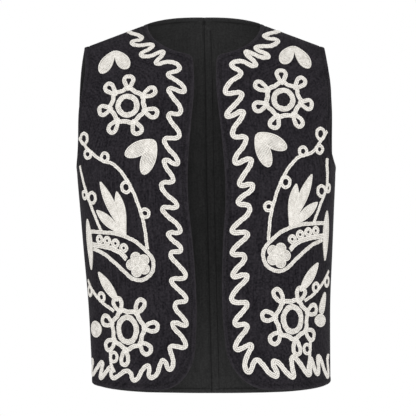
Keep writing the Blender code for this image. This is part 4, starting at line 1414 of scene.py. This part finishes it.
def bumped(shader, height, distance, strength):
    bump = node(height.id_data, "ShaderNodeBump")
    fill(bump.inputs["Distance"], distance)
    fill(bump.inputs["Strength"], strength)
    fill(bump.inputs["Height"], height)
    fill(shader["Normal"], bump.outputs["Normal"])


def uv_parts(tree):
    parts = node(tree, "ShaderNodeSeparateXYZ")
    fill(parts.inputs[0], node(tree, "ShaderNodeUVMap", uv_map="run").outputs["UV"])
    return parts.outputs[0], parts.outputs[1]


COTTON_DARK = (0.0035, 0.0030, 0.0045, 1.0)
COTTON_LIGHT = (0.0240, 0.0214, 0.0256, 1.0)
# Colour of the lips: rubbed cloth, with a painted highlight.
COTTON_LIP_WEAR_AND_HIGHLIGHT = (0.036, 0.033, 0.037, 1.0)
# Near-black for the painted shade in the seams, along the stitches and on the allowances.
COTTON_PAINTED_SHADE = (0.0025, 0.0025, 0.0025, 1.0)
# The inside of the cloth is a lighter grey than its face: partly the plain back of the cloth, and partly
# painted light that makes up for the shade inside the vest.
WRONG_SIDE_WITH_PAINTED_LIGHT_DARK = (0.0235, 0.0235, 0.0235, 1.0)
WRONG_SIDE_WITH_PAINTED_LIGHT_LIGHT = (0.0405, 0.0405, 0.0405, 1.0)
TWILL_PITCH = 0.0011
TWILL_SLANT = 0.8
TWILL_SHARE = 0.14
SLUB_COUNTS = (300.0, 24.0)
SLUB_SHARE = 1.10
Spots = namedtuple("Spots", "count detail share")
GRAIN = Spots(340.0, 2.0, 1.90)
BLOTCHES = Spots(40.0, 5.0, 0.70)
TONE_START = -1.42
COTTON_BUMP = 0.00010


def woven(name, dark, light):
    """A twill of one colour, with slightly thicker threads here and there."""
    made, tree, shader = new_material(name, roughness=0.95, specular=0.10)
    out, up = uv_parts(tree)
    slant = scaled(scaled(out, TWILL_SLANT, up), 2 * math.pi / TWILL_PITCH)
    ribs = scaled(maths(tree, "SINE", slant), 0.5, 0.5)
    slubs = node(tree, "ShaderNodeCombineXYZ")
    for socket, way, count in zip(slubs.inputs, (out, up), SLUB_COUNTS):
        fill(socket, scaled(way, count))
    thick = noise(tree, 1.0, place=slubs.outputs[0])
    grain = noise(tree, GRAIN.count, GRAIN.detail)
    blotches = noise(tree, BLOTCHES.count, BLOTCHES.detail)
    tone = scaled(blotches, BLOTCHES.share, scaled(ribs, TWILL_SHARE, TONE_START))
    tone = scaled(thick, SLUB_SHARE, scaled(grain, GRAIN.share, tone))
    # Below 0 the value paints shade into seams and stitch lines, mixing towards near-black.
    wear = node(tree, "ShaderNodeAttribute", attribute_name="wear").outputs["Fac"]
    shade = maths(tree, "ADD", maths(tree, "MINIMUM", wear, 0.0), 1.0)
    body = mixed(shade, COTTON_PAINTED_SHADE, mixed(tone, dark, light))
    # Lips painted lighter, for rubbing and as a painted highlight, a little unevenly with the grain.
    lip_wear_and_highlight = scaled(wear, scaled(grain, 0.5, 0.3))
    fill(shader["Base Color"], mixed(lip_wear_and_highlight, body, COTTON_LIP_WEAR_AND_HIGHLIGHT))
    bumped(shader, scaled(ribs, 0.6, grain), COTTON_BUMP, strength=0.5)
    return made


cotton = woven("black_cotton", COTTON_DARK, COTTON_LIGHT)
wrong_side_with_painted_light = woven("black_cotton_inside_with_painted_light", WRONG_SIDE_WITH_PAINTED_LIGHT_DARK, WRONG_SIDE_WITH_PAINTED_LIGHT_LIGHT)

SEAM_THREAD_DARK = (0.018, 0.017, 0.020, 1.0)
SEAM_THREAD_LIGHT = (0.034, 0.032, 0.036, 1.0)
seam_thread, tree, shader = new_material("black_thread", roughness=0.7, specular=0.3)
fill(shader["Base Color"], mixed(noise(tree, 500.0), SEAM_THREAD_DARK, SEAM_THREAD_LIGHT))

# The darker ivory shows in random spots and in painted shade.
IVORY_SPOTS_AND_PAINTED_SHADE = (0.34, 0.315, 0.275, 1.0)
IVORY = (0.775, 0.75, 0.705, 1.0)
IVORY_SHEEN = 0.10
IVORY_BUMP = 0.0003
JOINT_POWER = 0.25
TWIST_COUNT = 4.0
TWIST_SLANT = 3.0
TWIST_SHARE = 0.15
GROOVE_SHADE = 2.5
SPOT_SHARE = 1.5
LEAST_TONE = 0.22
ivory, tree, shader = new_material("ivory_thread", roughness=0.8, specular=0.2)
fill(shader["Sheen Weight"], IVORY_SHEEN)
link, side = uv_parts(tree)
# Painted shade where the links meet, which also sinks the bump there, and painted shade towards both
# sides of each row, in the groove between rows.
middle = maths(tree, "ABSOLUTE", maths(tree, "SUBTRACT", side, 0.5))
joint_dip_and_painted_shade = maths(tree, "ABSOLUTE", maths(tree, "SINE", scaled(link, math.pi)))
joint_dip_and_painted_shade = maths(tree, "POWER", joint_dip_and_painted_shade, JOINT_POWER)
twist = scaled(link, TWIST_COUNT, scaled(middle, TWIST_SLANT))
twist = maths(tree, "SINE", scaled(twist, 2 * math.pi))
lit = scaled(maths(tree, "POWER", middle, 2.0), -GROOVE_SHADE, 1.0)
tone = scaled(scaled(noise(tree, 240.0, detail=3.0), SPOT_SHARE, LEAST_TONE), joint_dip_and_painted_shade)
fill(shader["Base Color"], mixed(scaled(tone, lit), IVORY_SPOTS_AND_PAINTED_SHADE, IVORY))
bumped(shader, scaled(twist, TWIST_SHARE, joint_dip_and_painted_shade), IVORY_BUMP, strength=0.6)

FLOOR_DARK = (0.80, 0.80, 0.80, 1.0)
FLOOR_LIGHT = (0.84, 0.84, 0.84, 1.0)
pale, tree, shader = new_material("pale_floor", roughness=0.9, specular=0.1)
fill(shader["Base Color"], mixed(noise(tree, 2.0), FLOOR_DARK, FLOOR_LIGHT))

for panel in panels.values():
    panel.data.materials[0] = cotton
    panel.data.materials[1] = wrong_side_with_painted_light
for strip in strips:
    strip.data.materials[0] = wrong_side_with_painted_light
    strip.data.materials[1] = wrong_side_with_painted_light
for piece in topstitching.values():
    piece.data.materials.append(seam_thread)
for piece in embroidery:
    piece.data.materials.append(ivory)
floor.data.materials.append(pale)
print("materials:", cotton.name, seam_thread.name, ivory.name, pale.name)

# %% [markdown]
# ## Sizes, and the end
#
# A record of a flat cut, by width, length and area, is set up but not filled in. The boxes
# round the solid model and round the cloth are put side by side in one table.

# %% Cloth sizes and finish
Cut = namedtuple("Cut", "width length area")

low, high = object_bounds()
sizes = {"cad": [list(cad_low), list(cad_high)], "visual": [list(low), list(high)]}
print("visual model:", [round(b - a, 3) for a, b in zip(low, high)], "m")
